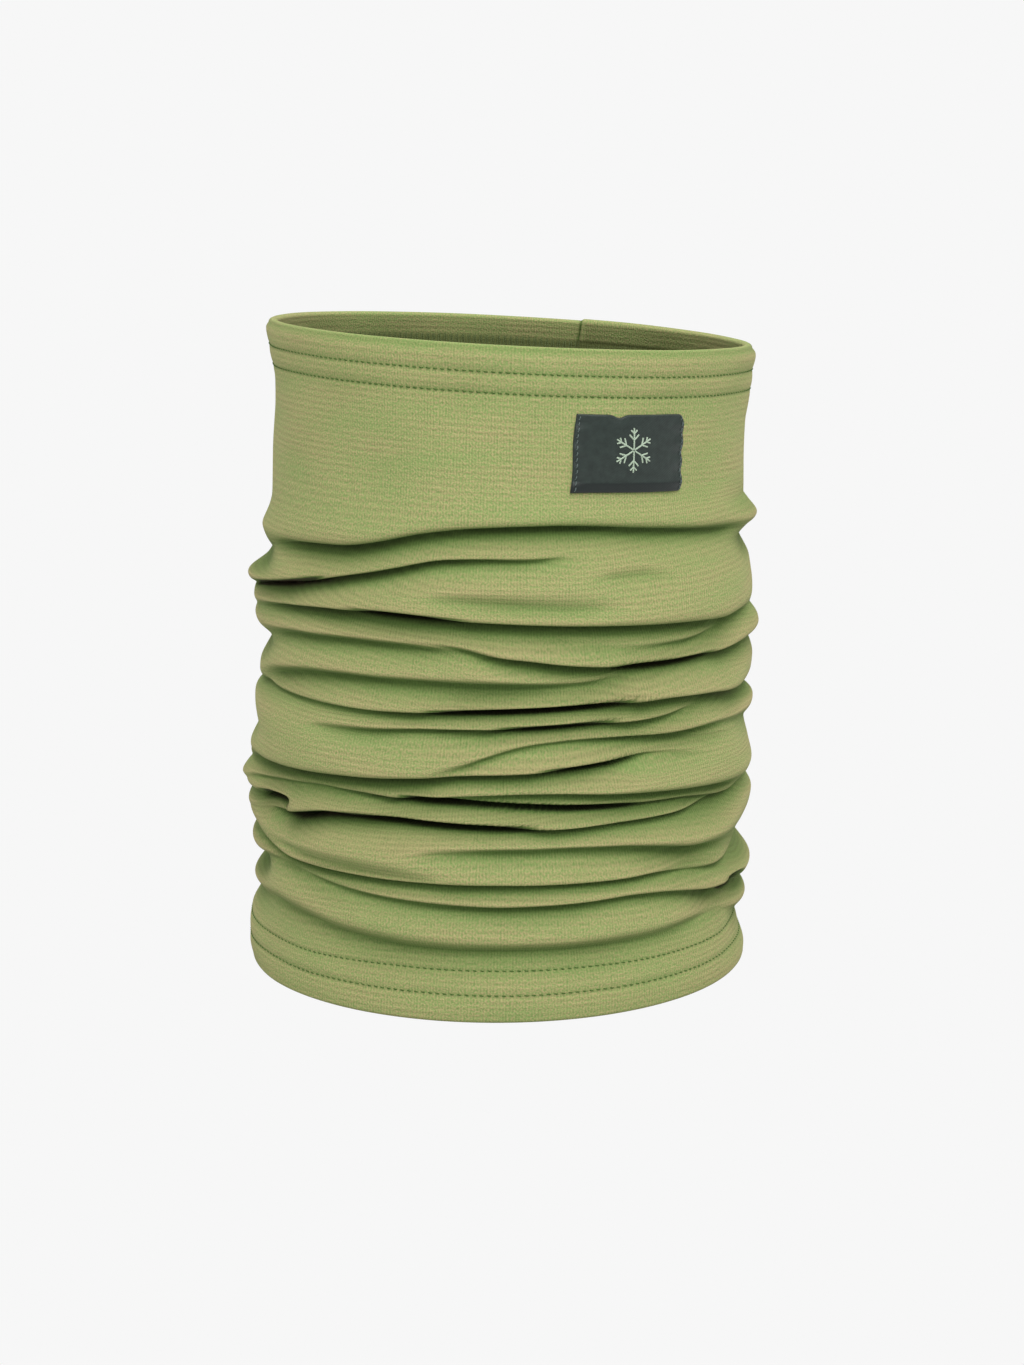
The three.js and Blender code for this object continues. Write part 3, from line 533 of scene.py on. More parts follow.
def make_cloth():
    """The whole tube as one closed mesh. Also gives the cloth's length along its folds in millimetres, and
    heights and radii of its inside at the seam."""
    azimuth = column_azimuths()[:, None]
    z = np.linspace(HEM_FOLD / 2, TUBE_HEIGHT - HEM_FOLD / 2, CLOTH_SAMPLES)[None, :]
    radius, height = cloth_face(azimuth, z)
    length = length_along(radius, height)
    rows = knit_rows(azimuth, z, length)
    near_rows = np.ones_like(z)
    for row in UPPER_ROWS + LOWER_ROWS:
        near_rows += 1.2 * np.exp(-(((z - row) / 1.6) ** 2))
    # Painted shade: how shut in each spot is, gaping creases and the pocket more so, for the material to
    # paint darker.
    shaded = gap_depth(azimuth, height) / GAP_FULL_SHADE + gap_depth(azimuth, height, POCKET) / POCKET_FULL_SHADE
    crease_shade = np.minimum(closed_in(radius, height) + shaded, 1)
    layers = [radius, height, rows, crease_shade, 0 * radius, crowned(radius)]
    outer = spread_rows(layers, OUTER_ROWS, near_rows)
    inner_radius, inner_height = inner_face(radius, height, z)
    off = azimuth - SEAM_AZIMUTH - 0.17 * np.minimum(TUBE_HEIGHT - z, 8)
    slit = np.exp(-((off / 0.4) ** 2)) * ease(TUBE_HEIGHT - 10, TUBE_HEIGHT - 6, z)
    fuller = ease(-0.4, 0.4, -off) * (1 - ease(5, 50, -off)) * (z > 150)
    inner_radius = inner_radius + 0.6 * slit - 0.5 * fuller
    # Below the facing, the inside of the tube is coloured darker; the facing keeps nearly the outside's
    # colour.
    turned_under = ease(TUBE_HEIGHT - 7.2, TUBE_HEIGHT - 6.2, z)
    darker_inside = 0 * radius + 1 - 0.9 * turned_under
    inner_rows = 2 * rows[:, -1:] + FOLD_LENGTH - rows
    # The seam's slit near the rim is painted in shade too.
    layers = [inner_radius, inner_height, inner_rows, 0.6 * slit, darker_inside, 0 * radius]
    inner = spread_rows(layers, INNER_ROWS)[:, :, ::-1]
    section = np.concatenate([
        outer,
        fold_over(outer[:, :, -1:], inner[:, :, :1], 1),
        inner,
        fold_over(inner[:, :, -1:], outer[:, :, :1], -1),
    ], axis=2)

    rings = section.shape[2]
    columns = len(azimuth)
    grid = placed(azimuth, section[0], section[1]).transpose(1, 0, 2).reshape(-1, 3)
    faces = torus_faces(rings, columns)

    # Cloth coordinates in metres: round the tube, and along the cloth at its relaxed length.
    ring_of, column_of = np.divmod(faces, columns)
    around = math.tau * CLOTH_RADIUS * (azimuth[:, 0] + 180) / 360
    u = around[column_of]
    last_strip = np.max(column_of, axis=1, keepdims=True) == columns - 1
    u = np.where(last_strip & (column_of == 0), u + math.tau * CLOTH_RADIUS, u)
    v = section[2][column_of, ring_of]
    inside_end = rings - FOLD_ROWS - 1
    past_inside = ring_of - inside_end
    starts_in_fold = np.min(ring_of, axis=1, keepdims=True) >= inside_end
    last_fold = starts_in_fold | (np.max(ring_of, axis=1, keepdims=True) == rings - 1)
    share = np.where(ring_of == 0, 1, past_inside / (FOLD_ROWS + 1))
    v = np.where(last_fold, (share - 1) * FOLD_LENGTH, v)
    uv = np.stack([u, v], axis=-1) * MM
    # The crease tone carries painted shade; the crown tone carries painted highlight and shade on the folds.
    tones = {"crease": section[3].T, "inside": section[4].T, "crown": section[5].T}
    cloth = mesh_piece("jersey_tube", grid, faces, uv, tones)
    at_seam = int(np.argmin(np.abs(azimuth[:, 0] - SEAM_AZIMUTH)))
    return cloth, float(length[:, -1].mean()), (inner_height[at_seam], inner_radius[at_seam])


cloth, cloth_length, inside_at_seam = make_cloth()


# ---------------------------------------------------------------- materials


def colour(hex_code):
    """An sRGB hex colour as linear RGBA."""
    channels = [int(hex_code[i:i + 2], 16) / 255 for i in (0, 2, 4)]
    linear = [c / 12.92 if c <= 0.04045 else ((c + 0.055) / 1.055) ** 2.4 for c in channels]
    return (*linear, 1)


def add(tree, kind, inputs=None, **settings):
    """Adds a node with its settings, and sets or links its inputs."""
    made = tree.nodes.new(kind)
    for name, value in settings.items():
        setattr(made, name, value)
    for socket, value in (inputs or {}).items():
        if isinstance(value, bpy.types.NodeSocket):
            tree.links.new(value, made.inputs[socket])
        else:
            made.inputs[socket].default_value = value
    return made


def new_material(name):
    material = bpy.data.materials.new(name)
    material.use_nodes = True
    material.node_tree.nodes.clear()
    return material, material.node_tree


RIB_PITCH = 2.07 * MM
WALE_PITCH = 1.0 * MM
YARN_GREEN = "849b5b"
YARN_TAN = "a1986a"
# Painted shade: the creases are coloured this darker green, and their most shut-in spots near black. The
# darker green is also one of the seam allowance's two fuzz tones.
CREASE_SHADE_AND_FUZZ_GREEN = "587038"
PAINTED_PIT_SHADE = "2c3b1c"
# The inside of the tube below the facing is coloured darker.
DARKER_INSIDE_GREEN = "626a3e"
NAP_EDGE = "d8b494"


def knitted_jersey():
    """Brushed wool-and-polyester jersey, knitted with fine wales and a slight cross rib, dyed in the yarn:
    a heathered yellow-green that goes warm and pale along its edges from the short nap."""
    material, tree = new_material("knitted_jersey")
    place = add(tree, "ShaderNodeUVMap", uv_map="cloth")
    split = add(tree, "ShaderNodeSeparateXYZ", {0: place.outputs[0]})

    drift = add(tree, "ShaderNodeTexNoise", {"Vector": place.outputs[0], "Scale": 60.0, "Detail": 1.0})
    rib_turn = add(tree, "ShaderNodeMath", {0: split.outputs[1], 1: math.tau / RIB_PITCH},
                   operation="MULTIPLY")
    rib_shift = add(tree, "ShaderNodeMath", {0: drift.outputs[0], 1: 1.2, 2: rib_turn.outputs[0]},
                    operation="MULTIPLY_ADD")
    rib = add(tree, "ShaderNodeMath", {0: rib_shift.outputs[0]}, operation="SINE")
    wale_turn = add(tree, "ShaderNodeMath", {0: split.outputs[0], 1: math.tau / WALE_PITCH},
                    operation="MULTIPLY")
    wale = add(tree, "ShaderNodeMath", {0: wale_turn.outputs[0]}, operation="SINE")

    stretch = add(tree, "ShaderNodeMapping", {"Vector": place.outputs[0], "Scale": (0.22, 1.0, 1.0)})
    streaks = add(tree, "ShaderNodeTexNoise",
                  {"Vector": stretch.outputs[0], "Scale": 1000.0, "Detail": 3.0, "Roughness": 0.6})
    upright = add(tree, "ShaderNodeMapping", {"Vector": place.outputs[0], "Scale": (1.0, 0.12, 1.0)})
    needles = add(tree, "ShaderNodeTexNoise",
                  {"Vector": upright.outputs[0], "Scale": 700.0, "Detail": 1.0, "Roughness": 0.5})
    specks = add(tree, "ShaderNodeTexNoise",
                 {"Vector": place.outputs[0], "Scale": 1500.0, "Detail": 1.0, "Roughness": 0.5})
    clouds = add(tree, "ShaderNodeTexNoise",
                 {"Vector": stretch.outputs[0], "Scale": 110.0, "Detail": 4.0, "Roughness": 0.6})

    heather = add(tree, "ShaderNodeMix", {0: 0.3, 2: specks.outputs[0], 3: clouds.outputs[0]},
                  data_type="FLOAT")
    # Painted highlight and shade: the crowns of the folds go paler and warmer, the dips between them greener.
    crown = add(tree, "ShaderNodeAttribute", attribute_name="crown")
    crown_highlight = add(tree, "ShaderNodeMath", {0: crown.outputs["Fac"], 1: 0.08, 2: heather.outputs[0]},
               operation="MULTIPLY_ADD")
    dyed = add(tree, "ShaderNodeValToRGB", {0: crown_highlight.outputs[0]})
    ramp = dyed.color_ramp
    ramp.elements[0].position = 0.38
    ramp.elements[0].color = colour(YARN_GREEN)
    ramp.elements[1].position = 0.62
    ramp.elements[1].color = colour(YARN_TAN)

    broken = add(tree, "ShaderNodeMapRange", {0: clouds.outputs[0], 1: 0.35, 2: 0.65, 3: 0.12, 4: 0.42})
    ribs = add(tree, "ShaderNodeMath", {0: rib.outputs[0], 1: broken.outputs[0]}, operation="MULTIPLY")
    wales = add(tree, "ShaderNodeMath", {0: needles.outputs[0], 1: 1.8, 2: -0.4}, operation="MULTIPLY_ADD")
    knit = add(tree, "ShaderNodeMath", {0: wale.outputs[0], 1: wales.outputs[0]}, operation="MULTIPLY")
    relief = add(tree, "ShaderNodeMath", {0: knit.outputs[0], 1: 0.6, 2: ribs.outputs[0]},
                 operation="MULTIPLY_ADD")
    flecked = add(tree, "ShaderNodeMath", {0: specks.outputs[0], 1: 2.4, 2: relief.outputs[0]},
                  operation="MULTIPLY_ADD")
    uneven = add(tree, "ShaderNodeMath", {0: streaks.outputs[0], 1: 1.2, 2: flecked.outputs[0]},
                 operation="MULTIPLY_ADD")
    depth = add(tree, "ShaderNodeMapRange", {0: uneven.outputs[0], 1: 0.8, 2: 2.8, 3: 0.78, 4: 1.14})
    # Painted shade: the creases go darker green, and the most shut-in spots near black.
    crease = add(tree, "ShaderNodeAttribute", attribute_name="crease")
    crease_shade = add(tree, "ShaderNodeMapRange", {0: crease.outputs["Fac"], 1: 0.04, 2: 0.42, 3: 0.0, 4: 1.0})
    crease_shaded = add(tree, "ShaderNodeMix", {0: crease_shade.outputs[0], 6: dyed.outputs[0], 7: colour(CREASE_SHADE_AND_FUZZ_GREEN)},
                data_type="RGBA")
    pit_shade = add(tree, "ShaderNodeMapRange", {0: crease.outputs["Fac"], 1: 0.48, 2: 0.82, 3: 0.0, 4: 1.0})
    pit_shaded = add(tree, "ShaderNodeMix", {0: pit_shade.outputs[0], 6: crease_shaded.outputs[2], 7: colour(PAINTED_PIT_SHADE)},
               data_type="RGBA")
    # Below the facing, the inside of the tube is coloured darker.
    inside = add(tree, "ShaderNodeAttribute", attribute_name="inside")
    sided = add(tree, "ShaderNodeMix", {0: inside.outputs["Fac"], 6: pit_shaded.outputs[2], 7: colour(DARKER_INSIDE_GREEN)},
                data_type="RGBA")
    shaded = add(tree, "ShaderNodeVectorMath", {0: sided.outputs[2], 1: depth.outputs[0]},
                 operation="MULTIPLY")
    bump = add(tree, "ShaderNodeBump", {"Strength": 0.5, "Distance": 0.22 * MM, "Height": uneven.outputs[0]})
    shader = add(tree, "ShaderNodeBsdfPrincipled", {
        "Base Color": shaded.outputs[0],
        "Roughness": 0.92,
        "IOR": 1.45,
        "Specular IOR Level": 0.2,
        "Sheen Weight": 0.15,
        "Sheen Roughness": 0.45,
        "Sheen Tint": colour(NAP_EDGE),
        "Normal": bump.outputs[0],
    })
    add(tree, "ShaderNodeOutputMaterial", {0: shader.outputs[0]})
    return material


jersey = knitted_jersey()
cloth.data.materials.append(jersey)
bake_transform(cloth)
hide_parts("lower_band", "lower_hem_facing", "upper_band", "upper_hem_facing",
            *[f"gather_roll_{i:02d}" for i in range(1, 11)])


# ---------------------------------------------------------------- threads

STITCH_PITCH = 2.3
STITCH_SLANT = -16
STITCHED_RADIUS = 82
THREAD = 0.36
COVER_THREAD = THREAD * 0.95
THREAD_SIDES = 6
THREAD_GREEN = "36501f"
THREAD_GLINT = "527232"
OVERLOCK_GREEN = "4c5830"
OVERLOCK_GLINT = "69754a"

# Bends of one stitch in millimetres: along the row, up, and out from the cloth.
NEEDLE_STITCH = [
    (-0.70, -0.10, -0.5), (-0.60, -0.09, -0.1), (-0.35, -0.05, 0.12), (0, 0, 0.17),
    (0.35, 0.05, 0.12), (0.60, 0.09, -0.1), (0.70, 0.10, -0.5),
]
TACK_STITCH = [
    (-0.2, -0.55, -0.35), (-0.12, -0.4, 0.06), (0, 0, 0.16), (0.12, 0.4, 0.06), (0.2, 0.55, -0.35),
]
# Bends of one cover loop: along the row, share of the way across the hem, and out from the cloth.
COVER_LOOP = [
    (-0.55, -1.0, 0.1), (-0.5, -0.6, 0.35), (-0.15, 0.1, 0.42), (0.2, 0.7, 0.42), (0.35, 1.0, 0.28),
    (0.6, 0.95, 0.28), (0.75, 0.5, 0.42), (0.9, -0.2, 0.42), (1.2, -0.8, 0.38), (1.55, -1.0, 0.1),
]


def bent_thread(name, points, thickness):
    """A length of thread along rounded points, in millimetres, as a closed mesh."""
    bpy.ops.object.select_all(action="DESELECT")
    curve = bpy.data.curves.new(name, "CURVE")
    curve.dimensions = "3D"
    curve.bevel_depth = thickness / 2
    curve.bevel_resolution = (THREAD_SIDES - 4) // 2
    curve.use_fill_caps = True
    run = curve.splines.new("POLY")
    run.points.add(len(points) - 1)
    for spot, point in zip(run.points, points):
        spot.co = (*point, 1)
    thread = bpy.data.objects.new(name, curve)
    bpy.context.scene.collection.objects.link(thread)
    bpy.context.view_layer.objects.active = thread
    thread.select_set(True)
    bpy.ops.object.convert(target="MESH")
    return bpy.context.object


def repeat(name, unit, spots, across, up, out, material):
    """Copies one stitch to every spot, turned to lie along, up and out from the cloth there."""
    corners = np.array([v.co[:] for v in unit.data.vertices])
    faces = [list(p.vertices) for p in unit.data.polygons]
    count = len(corners)
    points = (
        spots[:, None, :]
        + corners[None, :, 0:1] * across[:, None, :]
        + corners[None, :, 1:2] * up[:, None, :]
        + corners[None, :, 2:3] * out[:, None, :]
    )
    all_faces = [[i * count + v for v in face] for i in range(len(spots)) for face in faces]
    bpy.data.objects.remove(unit)
    row = mesh_piece(name, points.reshape(-1, 3), all_faces)
    row.data.materials.append(material)
    return row


def lie_of_cloth(azimuth, z, inner=False):
    """Where the cloth's face lies at some azimuths and heights, and which way is along, up and out."""
    azimuth = np.atleast_1d(np.asarray(azimuth, float))
    z = np.broadcast_to(np.asarray(z, float), azimuth.shape)

    def at(a, h):
        radius, height = cloth_face(a, h)
        return placed(a, radius, height)

    small = 0.15
    here = at(azimuth, z)
    across = at(azimuth + small, z) - at(azimuth - small, z)
    up = at(azimuth, z + small) - at(azimuth, z - small)
    across /= np.linalg.norm(across, axis=1, keepdims=True)
    out = np.cross(across, up)
    out /= np.linalg.norm(out, axis=1, keepdims=True)
    up = np.cross(out, across)
    if inner:
        here = here - out * cloth_thickness(z)[:, None]
    return here, across, up, out


def round_the_tube(pitch):
    count = round(math.tau * STITCHED_RADIUS / pitch)
    return np.arange(count) * 360 / count - 180


def needle_row(name, z, body, node, material):
    """One of the two rows of straight stitches of a coverstitched hem, each stitch sunk at its ends."""
    stitch = bent_thread("stitch", NEEDLE_STITCH, THREAD)
    azimuth = round_the_tube(STITCH_PITCH)
    spots, across, up, out = lie_of_cloth(azimuth, z)
    slant = math.radians(STITCH_SLANT)
    turned = across * math.cos(slant) + up * math.sin(slant)
    raised = up * math.cos(slant) - across * math.sin(slant)
    row = repeat(name, stitch, spots, turned, raised, out, material)
    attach(row, body)
    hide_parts(node)


def cover_loops(name, rows, body, node, material):
    """The looper thread inside a hem. It runs zigzag between the needle rows, over the cut edge."""
    width = abs(rows[1] - rows[0])
    side = 1 if rows[1] > rows[0] else -1
    half = width / 2 + 1.0
    points = [(x, side * half * y, lift) for x, y, lift in COVER_LOOP]
    loop = bent_thread("loop", points, COVER_THREAD)
    azimuth = round_the_tube(STITCH_PITCH)
    middle_height = (rows[0] + rows[1]) / 2 - side * 0.5
    spots, across, up, out = lie_of_cloth(azimuth, middle_height, inner=True)
    row = repeat(name, loop, spots, across, up, -out, material)
    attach(row, body)
    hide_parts(node)


def spun_thread(name, shade, glint, roughness):
    """Spun polyester sewing thread: two plies twisted together, a dull gleam on top of each twist."""
    material, tree = new_material(name)
    place = add(tree, "ShaderNodeTexCoord")
    twist = add(tree, "ShaderNodeTexWave", {
        "Vector": place.outputs["Object"],
        "Scale": 1 / (1.1 * MM),
        "Distortion": 1.5,
        "Detail": 1.0,
    }, bands_direction="DIAGONAL")
    tone = add(tree, "ShaderNodeMix", {0: twist.outputs["Fac"], 6: colour(shade), 7: colour(glint)},
               data_type="RGBA")
    bump = add(tree, "ShaderNodeBump",
               {"Strength": 0.5, "Distance": 0.08 * MM, "Height": twist.outputs["Fac"]})
    shader = add(tree, "ShaderNodeBsdfPrincipled", {
        "Base Color": tone.outputs[2],
        "Roughness": roughness,
        "Specular IOR Level": 0.25,
        "Normal": bump.outputs[0],
    })
    add(tree, "ShaderNodeOutputMaterial", {0: shader.outputs[0]})
    return material


sewing_thread = spun_thread("spun_polyester_thread", THREAD_GREEN, THREAD_GLINT, 0.8)
overlock_thread = spun_thread("overlock_thread", OVERLOCK_GREEN, OVERLOCK_GLINT, 0.8)

needle_row("upper_needle_row_edge", UPPER_ROWS[0], "upper", "upper_hem_needle_thread_edge", sewing_thread)
needle_row("upper_needle_row_inner", UPPER_ROWS[1], "upper", "upper_hem_needle_thread_inner", sewing_thread)
needle_row("lower_needle_row_edge", LOWER_ROWS[0], "lower", "lower_hem_needle_thread_edge", sewing_thread)
needle_row("lower_needle_row_inner", LOWER_ROWS[1], "lower", "lower_hem_needle_thread_inner", sewing_thread)
cover_loops("upper_cover_loops", UPPER_ROWS, "upper", "upper_hem_cover_thread", overlock_thread)
cover_loops("lower_cover_loops", LOWER_ROWS, "lower", "lower_hem_cover_thread", overlock_thread)


# ---------------------------------------------------------------- back seam

SEAM_ALLOWANCE = 5.6
SEAM_LAYERS = 1.4
SEAM_ROWS = 420
OVERLOCK_PITCH = 2.6


def seam_line():
    """Lie of the inside of the cloth up the back seam: how far along it, and the spots there with the
    directions across and up the seam."""
    z = np.linspace(HEM_DEPTH + 0.8, TUBE_HEIGHT - HEM_DEPTH - 0.8, 1400)
    radius = np.interp(z, *inside_at_seam)
    spots = placed(SEAM_AZIMUTH, radius, z)
    across = placed(SEAM_AZIMUTH + 0.5, radius, z) - placed(SEAM_AZIMUTH - 0.5, radius, z)
    up = np.gradient(spots, axis=0)
    across /= np.linalg.norm(across, axis=1, keepdims=True)
    up /= np.linalg.norm(up, axis=1, keepdims=True)
    travelled = np.concatenate([[0], np.cumsum(np.linalg.norm(np.diff(spots, axis=0), axis=1))])
    return travelled, (spots, across, up)


def read_along(at, travelled, lie):
    """Spots and directions of the seam, read at some lengths along it."""
    return [np.stack([np.interp(at, travelled, part[:, k]) for k in range(3)], axis=1) for part in lie]


def make_back_seam():
    """Both cut edges of the cloth, overlocked together and lying to one side up the inside of the back."""
    travelled, lie = seam_line()
    spots, across, _ = read_along(np.linspace(0, travelled[-1], SEAM_ROWS), travelled, lie)
    seam_angle = math.radians(SEAM_AZIMUTH)
    inward = -np.array([math.sin(seam_angle), -math.cos(seam_angle), 0])
    half = SEAM_ALLOWANCE / 2
    profile = [(-half, 0.15), (-half, SEAM_LAYERS - 0.3), (-half + 0.5, SEAM_LAYERS), (0, SEAM_LAYERS + 0.12),
               (half - 0.5, SEAM_LAYERS), (half, SEAM_LAYERS - 0.3), (half, 0.15)]
    points = np.stack([spots + a * across + (h * inward)[None, :] for a, h in profile], axis=1)
    ring = len(profile)
    faces = []
    for i in range(SEAM_ROWS - 1):
        for j in range(ring):
            k = (j + 1) % ring
            faces.append([i * ring + j, (i + 1) * ring + j, (i + 1) * ring + k, i * ring + k])
    faces.append(list(range(ring)))
    faces.append([(SEAM_ROWS - 1) * ring + j for j in reversed(range(ring))])
    seam = mesh_piece("back_seam_allowance", points.reshape(-1, 3), faces)
    seam.data.materials.append(seam_cloth())
    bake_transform(seam)
    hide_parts("back_seam_overlock")

    loop = bent_thread("overlock_loop", [
        (half + 0.2, 0.0, 0.1), (half + 0.25, 0.1, 0.8), (half - 0.2, 0.3, 1.45), (0, 1.0, 1.62),
        (-half + 0.8, 1.3, 1.55), (-half + 0.5, 1.7, 1.5), (0, 2.0, 1.62), (half - 0.4, 2.4, 1.45),
        (half + 0.25, 2.6, 0.8),
    ], THREAD)
    count = int(travelled[-1] / OVERLOCK_PITCH)
    spots, across, up = read_along((np.arange(count) + 0.1) * OVERLOCK_PITCH, travelled, lie)
    out = np.broadcast_to(inward, spots.shape)
    loops = repeat("back_seam_overlock_loops", loop, spots, across, up, out, overlock_thread)
    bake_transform(loops)


def seam_cloth():
    """The cut edges of the same jersey, plain and a little fuzzy."""
    material, tree = new_material("jersey_seam_allowance")
    place = add(tree, "ShaderNodeTexCoord")
    fuzz = add(tree, "ShaderNodeTexNoise", {"Vector": place.outputs["Object"], "Scale": 900.0, "Detail": 3.0})
    tone = add(tree, "ShaderNodeMix", {0: fuzz.outputs[0], 6: colour(CREASE_SHADE_AND_FUZZ_GREEN), 7: colour(YARN_GREEN)},
               data_type="RGBA")
    bump = add(tree, "ShaderNodeBump", {"Strength": 0.6, "Distance": 0.2 * MM, "Height": fuzz.outputs[0]})
    shader = add(tree, "ShaderNodeBsdfPrincipled",
                 {"Base Color": tone.outputs[2], "Roughness": 0.95, "Normal": bump.outputs[0]})
    add(tree, "ShaderNodeOutputMaterial", {0: shader.outputs[0]})
    return material


make_back_seam()


# ---------------------------------------------------------------- label

label_low, label_high = box_mm("label")
label_mid = (label_low + label_high) / 2
LABEL_AZIMUTH = math.degrees(math.atan2(label_mid[0] - axis_x(label_mid[2]), -label_mid[1] / DEPTH_SHARE))
LABEL_SPAN = 29.9  # degrees round the tube from side to side
LABEL_TILT = RIM_SLOPE * (label_mid[0] - axis_x(label_mid[2]))
LABEL_WIDE = 40.5
LABEL_TALL = 24.6
LABEL_DROP = 0.9
LABEL_FOOT = label_mid[2] + LABEL_TILT - LABEL_TALL / 2 - LABEL_DROP
LABEL_THICK = 0.7
LABEL_COLUMNS = 120
LABEL_ROWS = 76
LABEL_TACKS = 13
MOTIF_THREAD = 0.55
TAPE_DARK = "161f1c"
TAPE_PALE = "2b3631"
TAPE_FOOT = "141c1a"
LABEL_THREAD_DARK = "3f4a48"
LABEL_THREAD_GLINT = "66736e"
MOTIF_PALE = "8fa08c"
MOTIF_GLINT = "b4c3af"
WARP_PITCH = 0.55 * MM
WEFT_PITCH = 0.8 * MM


def label_edges(across, up):
    """Where a spot of the label lies: its edges wave a little where the stitches pull them."""
    corner = 0.35 * np.exp(-((1 - across) / 0.03) ** 2) * (2 * up - 1) ** 8
    azimuth = LABEL_AZIMUTH + 0.35 + LABEL_SPAN * (across - 0.5)
    azimuth = azimuth - 1.6 * corner + 0.12 * np.sin(9 * up + 0.8) * (across > 0.5) * (2 * across - 1) ** 4
    azimuth = azimuth + (1.1 * (up - 0.1) + 0.2 * np.sin(7 * up)) * (across < 0.5) * (1 - 2 * across) ** 2
    notch = 1.0 * np.exp(-(((across - 0.38) / 0.05) ** 2)) * up ** 6
    sag = 0.8 * (across - 0.5) * (1 - up) + 1.2 * np.clip(0.18 - across, 0, 1) * (1 - up) * -4
    z = LABEL_FOOT + LABEL_TALL * up - notch + 0.5 * (1 - across) * (1 - up) + 0.3 * sag
    z = z - 1.3 * corner * np.sign(up - 0.5)
    return azimuth, z


def label_lift(across, up):
    """How far the label's face stands off the cloth: puckered by its stitches, doubled at its foot."""
    from_side = np.minimum(across, 1 - across)
    pucker = 0.28 * np.sin(26 * up + 4 * across) * np.exp(-((from_side / 0.09) ** 2))
    fold = 0.18 * (1 - ease(0.1, 0.17, up))
    dent = -0.45 * np.exp(-(((across - 0.33) / 0.05) ** 2)) * np.exp(-(((1 - up) / 0.12) ** 2))
    pillow = 0.5 * np.sin(np.pi * across) ** 0.6 * np.sin(np.pi * np.clip(up, 0, 1)) ** 0.5
    rim = np.minimum(from_side * 40, np.minimum(up, 1 - up) * 25)
    rounded = -0.3 * (1 - np.clip(rim / 0.45, 0, 1)) ** 2
    return LABEL_THICK + pucker + fold + dent + pillow + rounded


def on_label(across, up, lift):
    """Spots a little above the label's face, with the directions along, up and out there."""
    azimuth, z = label_edges(across, up)
    spots, along, upward, out = lie_of_cloth(azimuth.ravel(), z.ravel())
    spots = spots + out * (label_lift(across, up) + lift).reshape(-1, 1)
    return spots, along, upward, out


def make_label():
    """A woven satin tape label, its foot folded double, sewn down along both sides."""
    across, up = np.meshgrid(np.linspace(0, 1, LABEL_COLUMNS), np.linspace(0, 1, LABEL_ROWS))
    face, _, _, out = on_label(across, up, 0)
    azimuth, z = label_edges(across, up)
    back, _, _, _ = lie_of_cloth(azimuth.ravel(), z.ravel())
    back = back + 0.12 * out
    count = LABEL_COLUMNS * LABEL_ROWS
    points = np.concatenate([face, back])
    column, row = np.meshgrid(np.arange(LABEL_COLUMNS - 1), np.arange(LABEL_ROWS - 1))
    first = (row * LABEL_COLUMNS + column).ravel()
    front = np.stack([first, first + 1, first + 1 + LABEL_COLUMNS, first + LABEL_COLUMNS], axis=1)
    rear = front[:, ::-1] + count
    edge = list(range(LABEL_COLUMNS))
    edge += [r * LABEL_COLUMNS + LABEL_COLUMNS - 1 for r in range(1, LABEL_ROWS)]
    edge += [(LABEL_ROWS - 1) * LABEL_COLUMNS + c for c in range(LABEL_COLUMNS - 2, -1, -1)]
    edge += [r * LABEL_COLUMNS for r in range(LABEL_ROWS - 2, 0, -1)]
    edge = np.array(edge)
    after = np.roll(edge, -1)
    sides = np.stack([edge, edge + count, after + count, after], axis=1)
    faces = np.concatenate([front, rear, sides])
    across_all = np.concatenate([across.ravel(), across.ravel()])
    up_all = np.concatenate([up.ravel(), up.ravel()])
    flat = np.stack([across_all * LABEL_WIDE, up_all * LABEL_TALL], axis=1)
    uv = flat[faces] * MM
    tones = {"foot": 1 - ease(0.125, 0.14, up_all)}
    label = mesh_piece("woven_label", points, faces, uv, tones)
    label.data.materials.append(satin_tape())
    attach(label, "upper")
    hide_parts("label")


